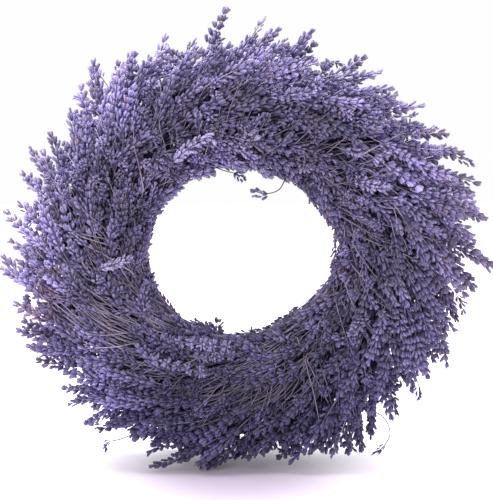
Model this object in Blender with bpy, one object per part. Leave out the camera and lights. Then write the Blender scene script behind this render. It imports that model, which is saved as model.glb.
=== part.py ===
"""A full round wreath of dried lavender, standing on its lower edge.

Small bunches of lavender are laid in three rows round an oval wire ring: an
inner row along the hole, a face row over the front and an outer row whose
heads fan out as the fringe. One binding wire winds round the ring and holds
every bunch by its stems. Metres, +Z up, the front faces -Y. The origin is on
the surface that the wreath stands on, below its middle.
"""

import bisect
import itertools
import math
import random

import bmesh
import bpy
from mathutils import Matrix, Vector

# The wire ring, the middle of the bound stems and the cross-section of the wreath.
CENTRE_HEIGHT = 0.1960
BUNDLE_HALF_WIDTH = 0.1070
BUNDLE_HALF_HEIGHT = 0.0980
SECTION_OFFSET_OUT = 0.0440
SECTION_OFFSET_FRONT = 0.004
SECTION_HALF_WIDTH = 0.066
SECTION_HALF_DEPTH = 0.050

# How the sprays wind clockwise as they leave the ring, seen from the front.
SWEEP_OUTSIDE = math.radians(58)
SWEEP_HOLE_SIDE = math.radians(46)
SWEEP_POWER = 0.6

# The bunches: places round the ring, and the rows by their angle round the bundle.
PLACES = 14
PLACE_JITTER = math.radians(2.0)
ROWS = {
    "outer_bunch": [math.radians(a) for a in (-65, -33, -4, 25)],
    "face_bunch": [math.radians(a) for a in (25, 60, 95)],
    "inner_bunch": [math.radians(a) for a in (95, 145, 195)],
}
CORNERS = sorted({angle for angles in ROWS.values() for angle in angles})

# The massed stems of a bunch, which its heads stand out of.
CORE_START = 0.0025
CORE_STEPS = 2
CORE_COLUMNS = 2
CORE_DEPTH = 0.0220
CORE_FRINGE_DEPTH = 0.030
CORE_FRINGE_SPREAD = math.radians(27)
CORE_LEAST_OVER_WIRE = 0.0017
WALL_GAP_AT_WIRE = 0.0018
WALL_GAP = 0.0007

# The steel.
WIRE_LINE = 0.0085
WIRE_ZONE = 0.0115
BINDING_RADIUS = 0.00045
BACK_ANGLES = [math.radians(a) for a in (212, 278)]
BACK_LINE = 0.0114
STEEL_ZONE = 0.0125
RING_WIRE_RADIUS = 0.0014
RING_PLACE = 0.0078
RING_ANGLE = math.radians(242)
RING_POINTS = 36

# The flower heads: whorls of florets on a stem, fewer and larger than life.
HEAD_LENGTH = 0.057
HEAD_RADIUS = 0.0081
SMALL_HEAD_LENGTH = 0.036
SMALL_HEAD_RADIUS = 0.0050
FULLNESS = (0.84, 1.0, 0.92, 0.68)
CUP_LOW = 0.30
CUP_HIGH = 0.86
WAIST_SHARE = 0.36
BUD_SHARE = 1.2
WHORL_SIDES = 3
STEM_RADIUS = 0.0012
ROOT_DEPTH = 0.0100
ROOT_DEPTH_SHARE = 0.5
ROOT_SPACE = 0.0023
HEAD_STEP = 0.003
SEED = 22

# How the heads lie: how far they turn out from the ring's own line, from the hole
# to the rim, how far their stems rise first and how steeply the heads lift then.
TURN_AT_HOLE = math.radians(4)
TURN_AT_RIM = math.radians(50)
TURN_SPREAD = math.radians(9)
HOLE_SIDE = math.radians(112)
STEM_LIFT = math.radians(52)
RISES = [(0.003, 2), (0.007, 2), (0.005, 8), (0.010, 4), (0.009, 12), (0.013, 8)]
FRINGE_STEM = 0.024

# How many heads each row's bunches have, and how close together the heads are.
HEAD_COUNTS = {"inner_bunch": 2, "face_bunch": 6, "outer_bunch": 7}
HEAD_TRIES = 150
HEAD_CLEARANCE = 0.0004
HEAD_OVER_CORE = 0.0008
CORE_FACETS = 0.0013
SAME_BUNCH_SPACING = 0.0085

# Where the wreath presses on the surface, the sprays bend flat. Four of them
# spread its weight to the front and to the back.
BEND_HEIGHT = 0.018
BEND_LEAST = 0.0010
RESTING_ACROSS = (-0.040, 0.035)
RESTING_FRONT = (-0.026, 0.026)
RESTING_SPREAD = 0.012
RESTING_STEM = 0.031
RESTING_AXIS = 0.0052

COLOURS = {
    "outer_bunch": (0.115, 0.092, 0.235, 1.0),
    "face_bunch": (0.125, 0.100, 0.250, 1.0),
    "inner_bunch": (0.105, 0.088, 0.190, 1.0),
    "wire_ring": (0.16, 0.17, 0.16, 1.0),
    "binding_wire": (0.10, 0.13, 0.10, 1.0),
}


def clear_scene():
    for obj in list(bpy.data.objects):
        bpy.data.objects.remove(obj, do_unlink=True)


def plain_material(name, colour, roughness, metallic=0.0):
    material = bpy.data.materials.new(name)
    material.use_nodes = True
    shader = material.node_tree.nodes["Principled BSDF"]
    shader.inputs["Base Color"].default_value = colour
    shader.inputs["Roughness"].default_value = roughness
    shader.inputs["Metallic"].default_value = metallic
    return material


def bundle_radius(theta):
    """The oval line that all the stems are bound along, at an angle from the top."""
    mean = (BUNDLE_HALF_WIDTH + BUNDLE_HALF_HEIGHT) / 2
    swing = (BUNDLE_HALF_WIDTH - BUNDLE_HALF_HEIGHT) / 2
    return mean - swing * math.cos(2 * theta)


def section_reach(psi):
    """From the bundle line to the wreath's elliptical outside, at psi round the bundle.

    psi is 0 away from the hole, a quarter turn to the front and a half to the hole.
    """
    across, front = math.cos(psi) / SECTION_HALF_WIDTH, math.sin(psi) / SECTION_HALF_DEPTH
    off_a = SECTION_OFFSET_OUT / SECTION_HALF_WIDTH
    off_f = SECTION_OFFSET_FRONT / SECTION_HALF_DEPTH
    square = across**2 + front**2
    half = across * off_a + front * off_f
    return (half + math.sqrt(half**2 - square * (off_a**2 + off_f**2 - 1))) / square


def core_corner(psi):
    """How far from the bundle line a corner of the massed stems is."""
    fringe = CORE_FRINGE_DEPTH * math.exp(-((psi / CORE_FRINGE_SPREAD) ** 2))
    return max(section_reach(psi) - CORE_DEPTH - fringe, WIRE_LINE + CORE_LEAST_OVER_WIRE)


def flat_sided(corner, psi):
    """The distance to an outline that is straight between its corners at the rows' angles."""
    after = min(max(bisect.bisect(CORNERS, psi), 1), len(CORNERS) - 1)
    low, high = CORNERS[after - 1], CORNERS[after]
    first, second = corner(low), corner(high)
    across = first * math.sin(psi - low) + second * math.sin(high - psi)
    return first * second * math.sin(high - low) / across


def core_reach(psi):
    return flat_sided(core_corner, psi)


def sweep(rho, psi):
    """How far round the wreath a spray has wound by the time it is rho from the bundle."""
    share = (1 - math.cos(psi)) / 2
    full = SWEEP_OUTSIDE + (SWEEP_HOLE_SIDE - SWEEP_OUTSIDE) * share
    return full * (rho / flat_sided(section_reach, psi)) ** SWEEP_POWER


def bend_to_surface(z):
    """Presses what would reach the surface flat above it, more the lower it is."""
    if z >= BEND_HEIGHT:
        return z
    room = BEND_HEIGHT - BEND_LEAST
    return BEND_HEIGHT - room * (1 - math.exp(-(BEND_HEIGHT - z) / room))


def unbent(z):
    """The height that bend_to_surface takes to z."""
    if z >= BEND_HEIGHT:
        return z
    room = BEND_HEIGHT - BEND_LEAST
    return BEND_HEIGHT + room * math.log(max(1 - (BEND_HEIGHT - z) / room, 1e-6))


def section_point(theta, out, front, bent=True):
    """The point at theta, this far out from the bundle line and to the front of it."""
    radius = bundle_radius(theta) + out
    z = CENTRE_HEIGHT + radius * math.cos(theta)
    return Vector((radius * math.sin(theta), -front, bend_to_surface(z) if bent else z))


def place_of(theta, rho, psi, bent=True):
    """The point at theta, rho from the bundle line at psi round it."""
    return section_point(theta, rho * math.cos(psi), rho * math.sin(psi), bent)


def along_spray(start, rho, psi, bent=True):
    """The point of the spray that leaves the ring at start, where it is rho from the bundle."""
    return place_of(start + sweep(rho, psi), rho, psi, bent)


def spray_of(point):
    """The start angle, rho and psi of the spray that passes through a point."""
    up = unbent(point.z) - CENTRE_HEIGHT
    theta = math.atan2(point.x, up)
    out = math.hypot(point.x, up) - bundle_radius(theta)
    rho, psi = math.hypot(out, point.y), math.atan2(-point.y, out)
    if psi < ROWS["outer_bunch"][0]:
        psi += 2 * math.pi
    return theta - sweep(rho, psi), rho, psi


def start_angles(rng):
    """Where round the ring each place's bunches are bound."""
    pitch = 2 * math.pi / PLACES
    return [i * pitch + rng.uniform(-PLACE_JITTER, PLACE_JITTER) for i in range(PLACES)]


def bunch_end(place, starts):
    """Where a place's bunches end and the next place's start."""
    return starts[(place + 1) % PLACES] + (2 * math.pi if place == PLACES - 1 else 0)


def start_gap(rho, psi, gap):
    """The change of start angle that moves a spray sideways by gap."""
    step = 1e-5
    here = along_spray(0.0, rho, psi, bent=False)
    onward = along_spray(0.0, rho + step, psi, bent=False) - here
    beside = along_spray(step, rho, psi, bent=False) - here
    apart = (beside - beside.project(onward)).length / step
    return gap / apart


def core_mesh(start, end, angles):
    """One bunch's massed stems: a block whose every edge runs along the sprays.

    Its corners are at step i from the wire outwards, angle j round the bundle and
    column k from its first wall to its second.
    """
    mesh = bmesh.new()
    grid = {}
    last_i, last_j, last_k = CORE_STEPS + 1, len(angles) - 1, CORE_COLUMNS
    for i in range(last_i + 1):
        for j, psi in enumerate(angles):
            rho = CORE_START
            if i:
                rho = WIRE_LINE + (core_corner(psi) - WIRE_LINE) * (i - 1) / CORE_STEPS
            shift = start_gap(rho, psi, WALL_GAP_AT_WIRE if rho < WIRE_ZONE else WALL_GAP)
            turned = psi + WALL_GAP / rho * ((j == 0) - (j == last_j))
            for k in range(last_k + 1):
                share = k / last_k
                theta = (start + shift) * (1 - share) + (end - shift) * share
                grid[i, j, k] = mesh.verts.new(place_of(theta + sweep(rho, psi), rho, turned))

    def quad(*corners):
        """Two triangles, split from the first corner to the third."""
        a, b, c, d = (grid[corner] for corner in corners)
        mesh.faces.new([a, b, c])
        mesh.faces.new([a, c, d])

    for i in range(last_i):
        for j in range(last_j):
            e = last_k
            quad((i, j, 0), (i, j + 1, 0), (i + 1, j + 1, 0), (i + 1, j, 0))
            quad((i, j, e), (i + 1, j, e), (i + 1, j + 1, e), (i, j + 1, e))
    for k in range(last_k):
        for i in range(last_i):
            e = last_j
            quad((i, 0, k), (i + 1, 0, k), (i + 1, 0, k + 1), (i, 0, k + 1))
            quad((i, e, k), (i, e, k + 1), (i + 1, e, k + 1), (i + 1, e, k))
        for j in range(last_j):
            e = last_i
            quad((0, j, k), (0, j, k + 1), (0, j + 1, k + 1), (0, j + 1, k))
            quad((e, j, k), (e, j + 1, k), (e, j + 1, k + 1), (e, j, k + 1))
    if mesh.calc_volume(signed=True) < 0:
        bmesh.ops.reverse_faces(mesh, faces=mesh.faces)
    return mesh


def ramp(value, low, high):
    return min(1.0, max(0.0, (value - low) / (high - low)))


def head_line(theta, psi, turn, rise, lift, length):
    """Points along a head, from its base to its tip.

    A stem leads up steeply from the massed stems, to a height of rise. From there
    it runs on clockwise, turned out from the ring's line and lifted a little, for
    the length of the head and whatever bare stem there is before it.
    """
    rho = core_reach(psi)
    out, front = rho * math.cos(psi), rho * math.sin(psi)
    normal = Vector(
        (
            (out - SECTION_OFFSET_OUT) / SECTION_HALF_WIDTH**2,
            (front - SECTION_OFFSET_FRONT) / SECTION_HALF_DEPTH**2,
        )
    ).normalized()
    outward = 1.0 - ramp(psi, HOLE_SIDE - 0.6, HOLE_SIDE)
    steep = rise / math.sin(STEM_LIFT)
    points = []
    for i in range(round((steep + length) / HEAD_STEP) + 1):
        radius = bundle_radius(theta) + out
        points.append(section_point(theta, out, front))
        angle = TURN_AT_HOLE + (TURN_AT_RIM - TURN_AT_HOLE) * ramp(radius, 0.085, 0.195) + turn
        climb = STEM_LIFT if i * HEAD_STEP < steep else lift
        step_out = math.sin(angle) * outward * math.cos(climb) + math.sin(climb) * normal.x
        step_front = math.sin(climb) * normal.y
        square = min(0.96, step_out**2 + step_front**2)
        theta += HEAD_STEP * math.sqrt(1 - square) / radius
        out += HEAD_STEP * step_out
        front += HEAD_STEP * step_front
    return points


def head_radii(count, radius):
    """The radius of the space that a head takes at each point of its line."""
    return [
        radius * (1.0 - 0.40 * ramp(i / (count - 1), 0.60, 1.0) ** 1.3) for i in range(count)
    ]


def head_rings(head):
    """The rings of one head, (point, direction, radius, turn), from its root to its tip."""
    points = head["points"]

    def at(gone):
        place = min(max(gone / HEAD_STEP, 0.0), len(points) - 1.001)
        whole = int(place)
        return points[whole].lerp(points[whole + 1], place - whole)

    def direction(gone):
        return (at(gone + 0.003) - at(gone - 0.003)).normalized()

    pitch = head["length"] / (len(FULLNESS) + 0.3)
    rings = [
        (head["root"], (points[0] - head["root"]).normalized(), STEM_RADIUS, head["turn"]),
        (points[0], direction(0.0), STEM_RADIUS, head["turn"]),
    ]
    for i, fullness in enumerate(FULLNESS):
        turn = head["turn"] + (i + 1) * math.pi / WHORL_SIDES
        top, waist = pitch * (i + CUP_HIGH), pitch * (i + 1 + CUP_LOW)
        rings.append((at(top), direction(top), fullness * head["radius"], turn))
        if i < len(FULLNESS) - 1:
            rings.append((at(waist), direction(waist), WAIST_SHARE * head["radius"], turn))
    return rings


def head_mesh(rings):
    """A closed loft through a spray's rings, ending in a bud."""
    mesh = bmesh.new()
    loops = []
    for point, direction, radius, turn in rings:
        side = direction.cross(Vector((0.31, 0.87, 0.38))).normalized()
        other = direction.cross(side)
        loop = []
        for k in range(WHORL_SIDES):
            angle = turn + 2 * math.pi * k / WHORL_SIDES
            loop.append(
                mesh.verts.new(point + radius * (side * math.cos(angle) + other * math.sin(angle)))
            )
        loops.append(loop)
    for i in range(len(loops) - 1):
        lower, upper = loops[i], loops[i + 1]
        turned = rings[i + 1][3] > rings[i][3]
        for k in range(WHORL_SIDES):
            after = (k + 1) % WHORL_SIDES
            if turned:
                mesh.faces.new([lower[k], lower[after], upper[k]])
                mesh.faces.new([lower[after], upper[after], upper[k]])
            else:
                mesh.faces.new([lower[k], lower[after], upper[after]])
                mesh.faces.new([lower[k], upper[after], upper[k]])
    point, direction, radius, _ = rings[-1]
    bud = mesh.verts.new(point + direction * BUD_SHARE * radius)
    for k in range(WHORL_SIDES):
        mesh.faces.new([loops[-1][k], loops[-1][(k + 1) % WHORL_SIDES], bud])
    mesh.faces.new(list(reversed(loops[0])))
    bmesh.ops.recalc_face_normals(mesh, faces=mesh.faces)
    return mesh


def row_of(psi):
    for row, angles in ROWS.items():
        if angles[0] <= psi <= angles[-1]:
            return row
    return None


def cell_of(theta0, starts):
    """The place whose bunch a spray with this start angle belongs to."""
    turn = 2 * math.pi
    for i, start in enumerate(starts):
        if (theta0 - start) % turn < bunch_end(i, starts) - start:
            return i
    return 0


def core_owner(point, starts):
    """The row and place of the massed stems round a point, or None above them."""
    start, rho, psi = spray_of(point)
    row = row_of(psi)
    if row is None:
        return "steel" if rho < STEEL_ZONE else None
    if rho > core_reach(psi) + CORE_FACETS:
        return None
    return row, cell_of(start, starts)


def within_own_cores(points, radii, owner, starts):
    """True if a tube through points stays out of the massed stems of other bunches."""
    for point, after, radius in zip(points, points[1:], radii):
        direction = (after - point).normalized()
        side = direction.cross(Vector((0.31, 0.87, 0.38))).normalized()
        other = direction.cross(side)
        for k in range(8):
            angle = math.pi * k / 4
            around = side * math.cos(angle) + other * math.sin(angle)
            if core_owner(point + around * radius, starts) not in (None, owner):
                return False
    return True


def clear_of_heads(head, heads):
    """True if a head and its stem keep their distance from those already placed."""
    for other in heads:
        if (head["points"][0] - other["points"][0]).length > 0.13:
            continue
        if other["owner"] == head["owner"]:
            pairs = itertools.product(head["points"], other["points"])
            if any((p - q).length < SAME_BUNCH_SPACING for p, q in pairs):
                return False
            continue
        for p, p_radius in head["space"]:
            for q, q_radius in other["space"]:
                apart = HEAD_CLEARANCE + p_radius + q_radius
                if (p - q).length_squared < apart * apart:
                    return False
    return True


def head_at(rng, theta, psi, stem, turn, starts):
    """A head with its foot at theta and psi, or None if it can't lie there."""
    rho = core_reach(psi)
    start, row = theta - sweep(rho, psi), row_of(psi)
    small = row == "inner_bunch"
    root_depth = min(ROOT_DEPTH, ROOT_DEPTH_SHARE * (rho - CORE_START))
    head = {
        "owner": (row, cell_of(start, starts)),
        "length": SMALL_HEAD_LENGTH if small else HEAD_LENGTH * rng.uniform(0.90, 1.08),
        "radius": SMALL_HEAD_RADIUS if small else HEAD_RADIUS * rng.uniform(0.92, 1.06),
        "turn": rng.uniform(0, 2 * math.pi),
        "root": along_spray(start, rho - root_depth, psi),
    }
    for rise, lift in RISES:
        line = head_line(theta, psi, turn, rise, math.radians(lift), stem + head["length"])
        points = line[-round(head["length"] / HEAD_STEP) - 1 :]
        radii = head_radii(len(points), head["radius"])
        sunk = [head["root"].lerp(points[0], k / 8) for k in range(9)]
        if not within_own_cores(sunk, [ROOT_SPACE] * 9, head["owner"], starts):
            continue
        spread = [radius + HEAD_OVER_CORE for radius in radii]
        if within_own_cores(points, spread, head["owner"], starts):
            space = [(p, STEM_RADIUS) for p in sunk] + list(zip(points, radii))
            return {**head, "points": points, "space": space}
    return None


def random_head(rng, row, place, starts):
    """A random head of one bunch, or None if it can't lie where it was drawn."""
    start = starts[place] + rng.random() * (bunch_end(place, starts) - starts[place])
    psi = rng.uniform(ROWS[row][0], ROWS[row][-1])
    theta = start + sweep(core_reach(psi), psi)
    fringe = math.exp(-((psi / CORE_FRINGE_SPREAD) ** 2))
    stem = fringe * FRINGE_STEM * rng.random()
    return head_at(rng, theta, psi, stem, rng.gauss(0, 1) * TURN_SPREAD, starts)


def resting_head(rng, across, front, starts):
    """A random head whose tip lies on the surface, near across and front."""
    theta = math.pi - across / CENTRE_HEIGHT - rng.uniform(0.30, 0.60)
    psi = math.asin(front / core_reach(0.0)) + rng.gauss(0, 0.05)
    head = head_at(rng, theta, psi, RESTING_STEM, rng.uniform(-0.1, 0.3), starts)
    if head is None:
        return None
    tip = head["points"][-3]
    off = max(abs(tip.x - across), abs(-tip.y - front))
    return head if off < RESTING_SPREAD and tip.z < RESTING_AXIS else None


def wire_points(starts):
    corners = [point for turn in binding_turns(starts) for point in turn]
    return [a.lerp(b, k / 6) for a, b in zip(corners, corners[1:]) for k in range(6)]


def clear_of_wire(head, wire):
    """True if a head and its stem keep clear of the binding wire."""
    for p, radius in head["space"]:
        apart = HEAD_CLEARANCE + radius + BINDING_RADIUS
        if any((p - q).length_squared < apart * apart for q in wire):
            return False
    return True


def place_heads(rng, starts):
    """Heads for every bunch in turn, none crossing another bunch."""
    heads = []
    wire = wire_points(starts)

    def place(draw, *where):
        for _ in range(HEAD_TRIES):
            head = draw(rng, *where, starts)
            if head and clear_of_heads(head, heads) and clear_of_wire(head, wire):
                heads.append(head)
                return

    for across, front in itertools.product(RESTING_ACROSS, RESTING_FRONT):
        place(resting_head, across, front)
    for row, count in HEAD_COUNTS.items():
        for bunch in range(count * PLACES):
            place(random_head, row, bunch % PLACES)
    return heads


def bounds_of(objects):
    """The lowest and highest corner of the box round some objects."""
    bpy.context.view_layer.update()
    graph = bpy.context.evaluated_depsgraph_get()
    corners = []
    for obj in objects:
        shape = obj.evaluated_get(graph)
        corners += [vert.co.copy() for vert in shape.to_mesh().vertices]
        shape.to_mesh_clear()
    low, high = ([pick(c[i] for c in corners) for i in range(3)] for pick in (min, max))
    return Vector(low), Vector(high)


def centre_over_origin(objects):
    """Moves the shapes sideways so that the box round them all is over the origin."""
    low, high = bounds_of(objects)
    shift = Matrix.Translation((-(low.x + high.x) / 2, -(low.y + high.y) / 2, 0))
    for obj in objects:
        obj.data.transform(shift)


def cut_at_surface(objects):
    """Flattens what reaches below the surface, which leaves the spots it rests on."""
    helpers = bpy.data.collections.new("cutters")
    bpy.context.scene.collection.children.link(helpers)
    mesh = bmesh.new()
    box = Matrix.Translation((0, 0, -0.02)) @ Matrix.Diagonal((0.6, 0.3, 0.04, 1))
    bmesh.ops.create_cube(mesh, size=1.0, matrix=box)
    cutter = new_object("surface_cutter", mesh, helpers)
    cutter.hide_render = True
    cutter.display_type = "WIRE"
    for obj in objects:
        if bounds_of([obj])[0].z < 0:
            cut = obj.modifiers.new("Rests on the surface", "BOOLEAN")
            cut.operation = "DIFFERENCE"
            cut.solver = "MANIFOLD"
            cut.object = cutter


def new_object(name, mesh, collection):
    data = bpy.data.meshes.new(name)
    mesh.to_mesh(data)
    mesh.free()
    obj = bpy.data.objects.new(name, data)
    collection.objects.link(obj)
    return obj


def joined(body, parts):
    """Joins a collection of closed pieces to a body with one Boolean union."""
    union = body.modifiers.new("Union", "BOOLEAN")
    union.operation = "UNION"
    union.solver = "MANIFOLD"
    union.operand_type = "COLLECTION"
    union.collection = parts
    bpy.context.view_layer.update()
    graph = bpy.context.evaluated_depsgraph_get()
    made = bpy.data.meshes.new_from_object(body.evaluated_get(graph))
    body.modifiers.clear()
    body.data = made
    for obj in list(parts.objects):
        bpy.data.objects.remove(obj, do_unlink=True)
    bpy.data.collections.remove(parts)


def build_bunch(name, core, heads, material, wreath):
    """One bunch: its massed stems with its flower heads joined on."""
    body = new_object(name, core, wreath)
    if heads:
        parts = bpy.data.collections.new(name + "_parts")
        bpy.context.scene.collection.children.link(parts)
        for i, head in enumerate(heads):
            new_object(f"{name}_head_{i}", head_mesh(head_rings(head)), parts)
        joined(body, parts)
    body.data.materials.clear()
    body.data.materials.append(material)
    return body


def wire_curve(name, points, radius, bevel_resolution, cyclic, material, wreath):
    curve = bpy.data.curves.new(name, "CURVE")
    curve.dimensions = "3D"
    curve.bevel_depth = radius
    curve.bevel_resolution = bevel_resolution
    curve.use_fill_caps = True
    spline = curve.splines.new("POLY")
    spline.points.add(len(points) - 1)
    for point, at in zip(spline.points, points):
        point.co = (*at, 1.0)
    spline.use_cyclic_u = cyclic
    curve.materials.append(material)
    obj = bpy.data.objects.new(name, curve)
    wreath.objects.link(obj)
    return obj


def build_ring(material, wreath):
    points = [
        place_of(2 * math.pi * i / RING_POINTS, RING_PLACE, RING_ANGLE)
        for i in range(RING_POINTS)
    ]
    return wire_curve("wire_ring", points, RING_WIRE_RADIUS, 1, True, material, wreath)


def binding_turns(starts):
    """The binding wire's corners, a list for each turn.

    In front it runs between two bunches of each row, bent where their blocks are,
    then it crosses the ring wire behind.
    """
    turns = []
    for i, start in enumerate(starts):
        turn = [along_spray(start, WIRE_LINE, psi) for psi in CORNERS]
        low = start + sweep(WIRE_LINE, CORNERS[-1])
        high = bunch_end(i, starts) + sweep(WIRE_LINE, CORNERS[0])
        turn.append(place_of(low, BACK_LINE, BACK_ANGLES[0]))
        turn.append(place_of(high, BACK_LINE, BACK_ANGLES[1]))
        turns.append(turn)
    return turns


def build_binding(starts, material, wreath):
    points = [point for turn in binding_turns(starts) for point in turn]
    return wire_curve("binding_wire", points, BINDING_RADIUS, 0, False, material, wreath)


def main():
    clear_scene()
    wreath = bpy.data.collections.new("lavender_wreath")
    bpy.context.scene.collection.children.link(wreath)
    rng = random.Random(SEED)
    starts = start_angles(rng)
    heads = place_heads(rng, starts)
    for row, angles in ROWS.items():
        material = plain_material(row, COLOURS[row], 0.85)
        for place, start in enumerate(starts):
            core = core_mesh(start, bunch_end(place, starts), angles)
            own = [h for h in heads if h["owner"] == (row, place)]
            build_bunch(f"{row}_{place + 1:02d}", core, own, material, wreath)
    build_ring(plain_material("wire_ring", COLOURS["wire_ring"], 0.45, 1.0), wreath)
    build_binding(
        starts, plain_material("binding_wire", COLOURS["binding_wire"], 0.5, 1.0), wreath
    )
    centre_over_origin(list(wreath.objects))
    cut_at_surface([obj for obj in wreath.objects if obj.type == "MESH"])


main()
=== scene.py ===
"""The looks of a dried lavender wreath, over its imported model, laid out as an add-on.

The spikes are modelled once, whorl by whorl, and their copies are carried onto
lines that flow clockwise out of the bound stems, as in the part's source. First
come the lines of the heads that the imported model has, then finer spikes and
bare stems fill the space between them. Metres, +Z up, the front faces -Y.
"""

import math
import random

import bpy
import numpy as np
from mathutils import Matrix, Vector


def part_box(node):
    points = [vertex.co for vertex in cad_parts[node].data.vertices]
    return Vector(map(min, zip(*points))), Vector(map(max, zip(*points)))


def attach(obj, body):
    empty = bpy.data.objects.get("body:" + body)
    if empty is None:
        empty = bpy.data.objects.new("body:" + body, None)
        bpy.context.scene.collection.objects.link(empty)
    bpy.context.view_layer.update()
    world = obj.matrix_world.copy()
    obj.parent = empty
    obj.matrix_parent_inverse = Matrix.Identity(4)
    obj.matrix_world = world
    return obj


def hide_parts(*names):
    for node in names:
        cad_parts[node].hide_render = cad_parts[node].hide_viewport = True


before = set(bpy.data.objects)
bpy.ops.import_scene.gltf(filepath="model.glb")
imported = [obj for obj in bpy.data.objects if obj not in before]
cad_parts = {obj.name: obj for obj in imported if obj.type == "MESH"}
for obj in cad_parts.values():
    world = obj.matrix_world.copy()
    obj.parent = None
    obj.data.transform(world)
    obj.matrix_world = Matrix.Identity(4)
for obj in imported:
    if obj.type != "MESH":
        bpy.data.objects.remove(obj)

bl_info = {
    "name": "Dried lavender wreath",
    "version": (1, 0, 0),
    "blender": (4, 5, 0),
    "location": "3D View > Sidebar > Wreath",
    "description": "Dresses the packed lavender wreath and sets its stage",
    "category": "Object",
}

# The wreath's own form, as in the part's source.
CENTRE_HEIGHT = 0.1960
BUNDLE_HALF_WIDTH = 0.1070
BUNDLE_HALF_HEIGHT = 0.0980
BUNDLE_MEAN = (BUNDLE_HALF_WIDTH + BUNDLE_HALF_HEIGHT) / 2
BUNDLE_SWING = (BUNDLE_HALF_WIDTH - BUNDLE_HALF_HEIGHT) / 2
SECTION_OFFSET_OUT = 0.0440
SECTION_OFFSET_FRONT = 0.004
SECTION_HALF_WIDTH = 0.066
SECTION_HALF_DEPTH = 0.050
SWEEP_OUTSIDE = math.radians(58)
SWEEP_HOLE_SIDE = math.radians(46)
SWEEP_POWER = 0.6
PLACES = 14
PLACE_JITTER = math.radians(2.0)
ROWS = {
    "outer_bunch": [math.radians(a) for a in (-65, -33, -4, 25)],
    "face_bunch": [math.radians(a) for a in (25, 60, 95)],
    "inner_bunch": [math.radians(a) for a in (95, 145, 195)],
}
ROW_NAMES = list(ROWS)
CORNERS = np.array(sorted({angle for angles in ROWS.values() for angle in angles}))
CORE_START = 0.0025
CORE_DEPTH = 0.0220
CORE_FRINGE_DEPTH = 0.030
CORE_FRINGE_SPREAD = math.radians(27)
CORE_LEAST_OVER_WIRE = 0.0017
WIRE_LINE = 0.0085
BINDING_RADIUS = 0.00045
BACK_ANGLES = [math.radians(a) for a in (212, 278)]
BACK_LINE = 0.0114
STEEL_ZONE = 0.0125
RING_PLACE = 0.0078
RING_ANGLE = math.radians(242)
BEND_HEIGHT = 0.018
BEND_LEAST = 0.0010

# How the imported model's heads were placed, as in the part's source.
HEAD_LENGTH = 0.057
HEAD_RADIUS = 0.0081
SMALL_HEAD_LENGTH = 0.036
SMALL_HEAD_RADIUS = 0.0050
STEM_RADIUS = 0.0012
ROOT_DEPTH = 0.0100
ROOT_DEPTH_SHARE = 0.5
ROOT_SPACE = 0.0023
ROOT_POINTS = 9
HEAD_STEP = 0.003
SEED = 22
TURN_AT_HOLE = math.radians(4)
TURN_AT_RIM = math.radians(50)
TURN_START = 0.085
TURN_RUN = 0.110
TURN_SPREAD = math.radians(9)
HOLE_SIDE = math.radians(112)
STEM_LIFT = math.radians(52)
RISES = [(0.003, 2), (0.007, 2), (0.005, 8), (0.010, 4), (0.009, 12), (0.013, 8)]
FRINGE_STEM = 0.024
HEAD_COUNTS = {"inner_bunch": 2, "face_bunch": 6, "outer_bunch": 7}
HEAD_TRIES = 150
HEAD_CLEARANCE = 0.0004
HEADS_MEET_WITHIN = 0.13
HEAD_OVER_CORE = 0.0008
CORE_FACETS = 0.0013
SAME_BUNCH_SPACING = 0.0085
RESTING_ACROSS = (-0.040, 0.035)
RESTING_FRONT = (-0.026, 0.026)
RESTING_SPREAD = 0.012
RESTING_STEM = 0.031
RESTING_AXIS = 0.0052

# How far the fringe reaches from the hole's middle, every 15 degrees clockwise from
# the top, in millimetres.
FRINGE_REACH = [
    213, 203, 200, 202, 214, 228, 229, 222, 224, 214, 221, 211,
    212, 220, 224, 214, 220, 216, 220, 211, 199, 213, 216, 205,
]  # fmt: skip


def bundle_radius(theta):
    """The oval line that all the stems are bound along, at an angle from the top."""
    return BUNDLE_MEAN - BUNDLE_SWING * np.cos(2 * theta)


def section_reach(psi):
    """From the bundle line to the wreath's elliptical outside, at psi round the bundle."""
    across, front = np.cos(psi) / SECTION_HALF_WIDTH, np.sin(psi) / SECTION_HALF_DEPTH
    off_a = SECTION_OFFSET_OUT / SECTION_HALF_WIDTH
    off_f = SECTION_OFFSET_FRONT / SECTION_HALF_DEPTH
    square = across**2 + front**2
    half = across * off_a + front * off_f
    return (half + np.sqrt(half**2 - square * (off_a**2 + off_f**2 - 1))) / square


OUTSIDE_CORNERS = section_reach(CORNERS)
CORE_CORNERS = np.maximum(
    OUTSIDE_CORNERS
    - CORE_DEPTH
    - CORE_FRINGE_DEPTH * np.exp(-((CORNERS / CORE_FRINGE_SPREAD) ** 2)),
    WIRE_LINE + CORE_LEAST_OVER_WIRE,
)


def flat_sided(values, psi):
    """The distance to an outline that is straight between its corners at the rows' angles."""
    after = np.clip(np.searchsorted(CORNERS, psi, side="right"), 1, len(CORNERS) - 1)
    low, high = CORNERS[after - 1], CORNERS[after]
    first, second = values[after - 1], values[after]
    across = first * np.sin(psi - low) + second * np.sin(high - psi)
    return first * second * np.sin(high - low) / across


def core_reach(psi):
    """From the bundle line to the outside of the solids' massed stems."""
    return flat_sided(CORE_CORNERS, psi)


def sweep(rho, psi):
    """How far round the wreath a spray has wound by the time it is rho from the bundle."""
    share = (1 - np.cos(psi)) / 2
    full = SWEEP_OUTSIDE + (SWEEP_HOLE_SIDE - SWEEP_OUTSIDE) * share
    return full * np.abs(rho / flat_sided(OUTSIDE_CORNERS, psi)) ** SWEEP_POWER


def bend_to_surface(z):
    """Presses what would reach the surface flat above it, more the lower it is."""
    room = BEND_HEIGHT - BEND_LEAST
    bent = BEND_HEIGHT - room * (1 - np.exp(-(BEND_HEIGHT - np.minimum(z, BEND_HEIGHT)) / room))
    return np.where(z >= BEND_HEIGHT, z, bent)


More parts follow.
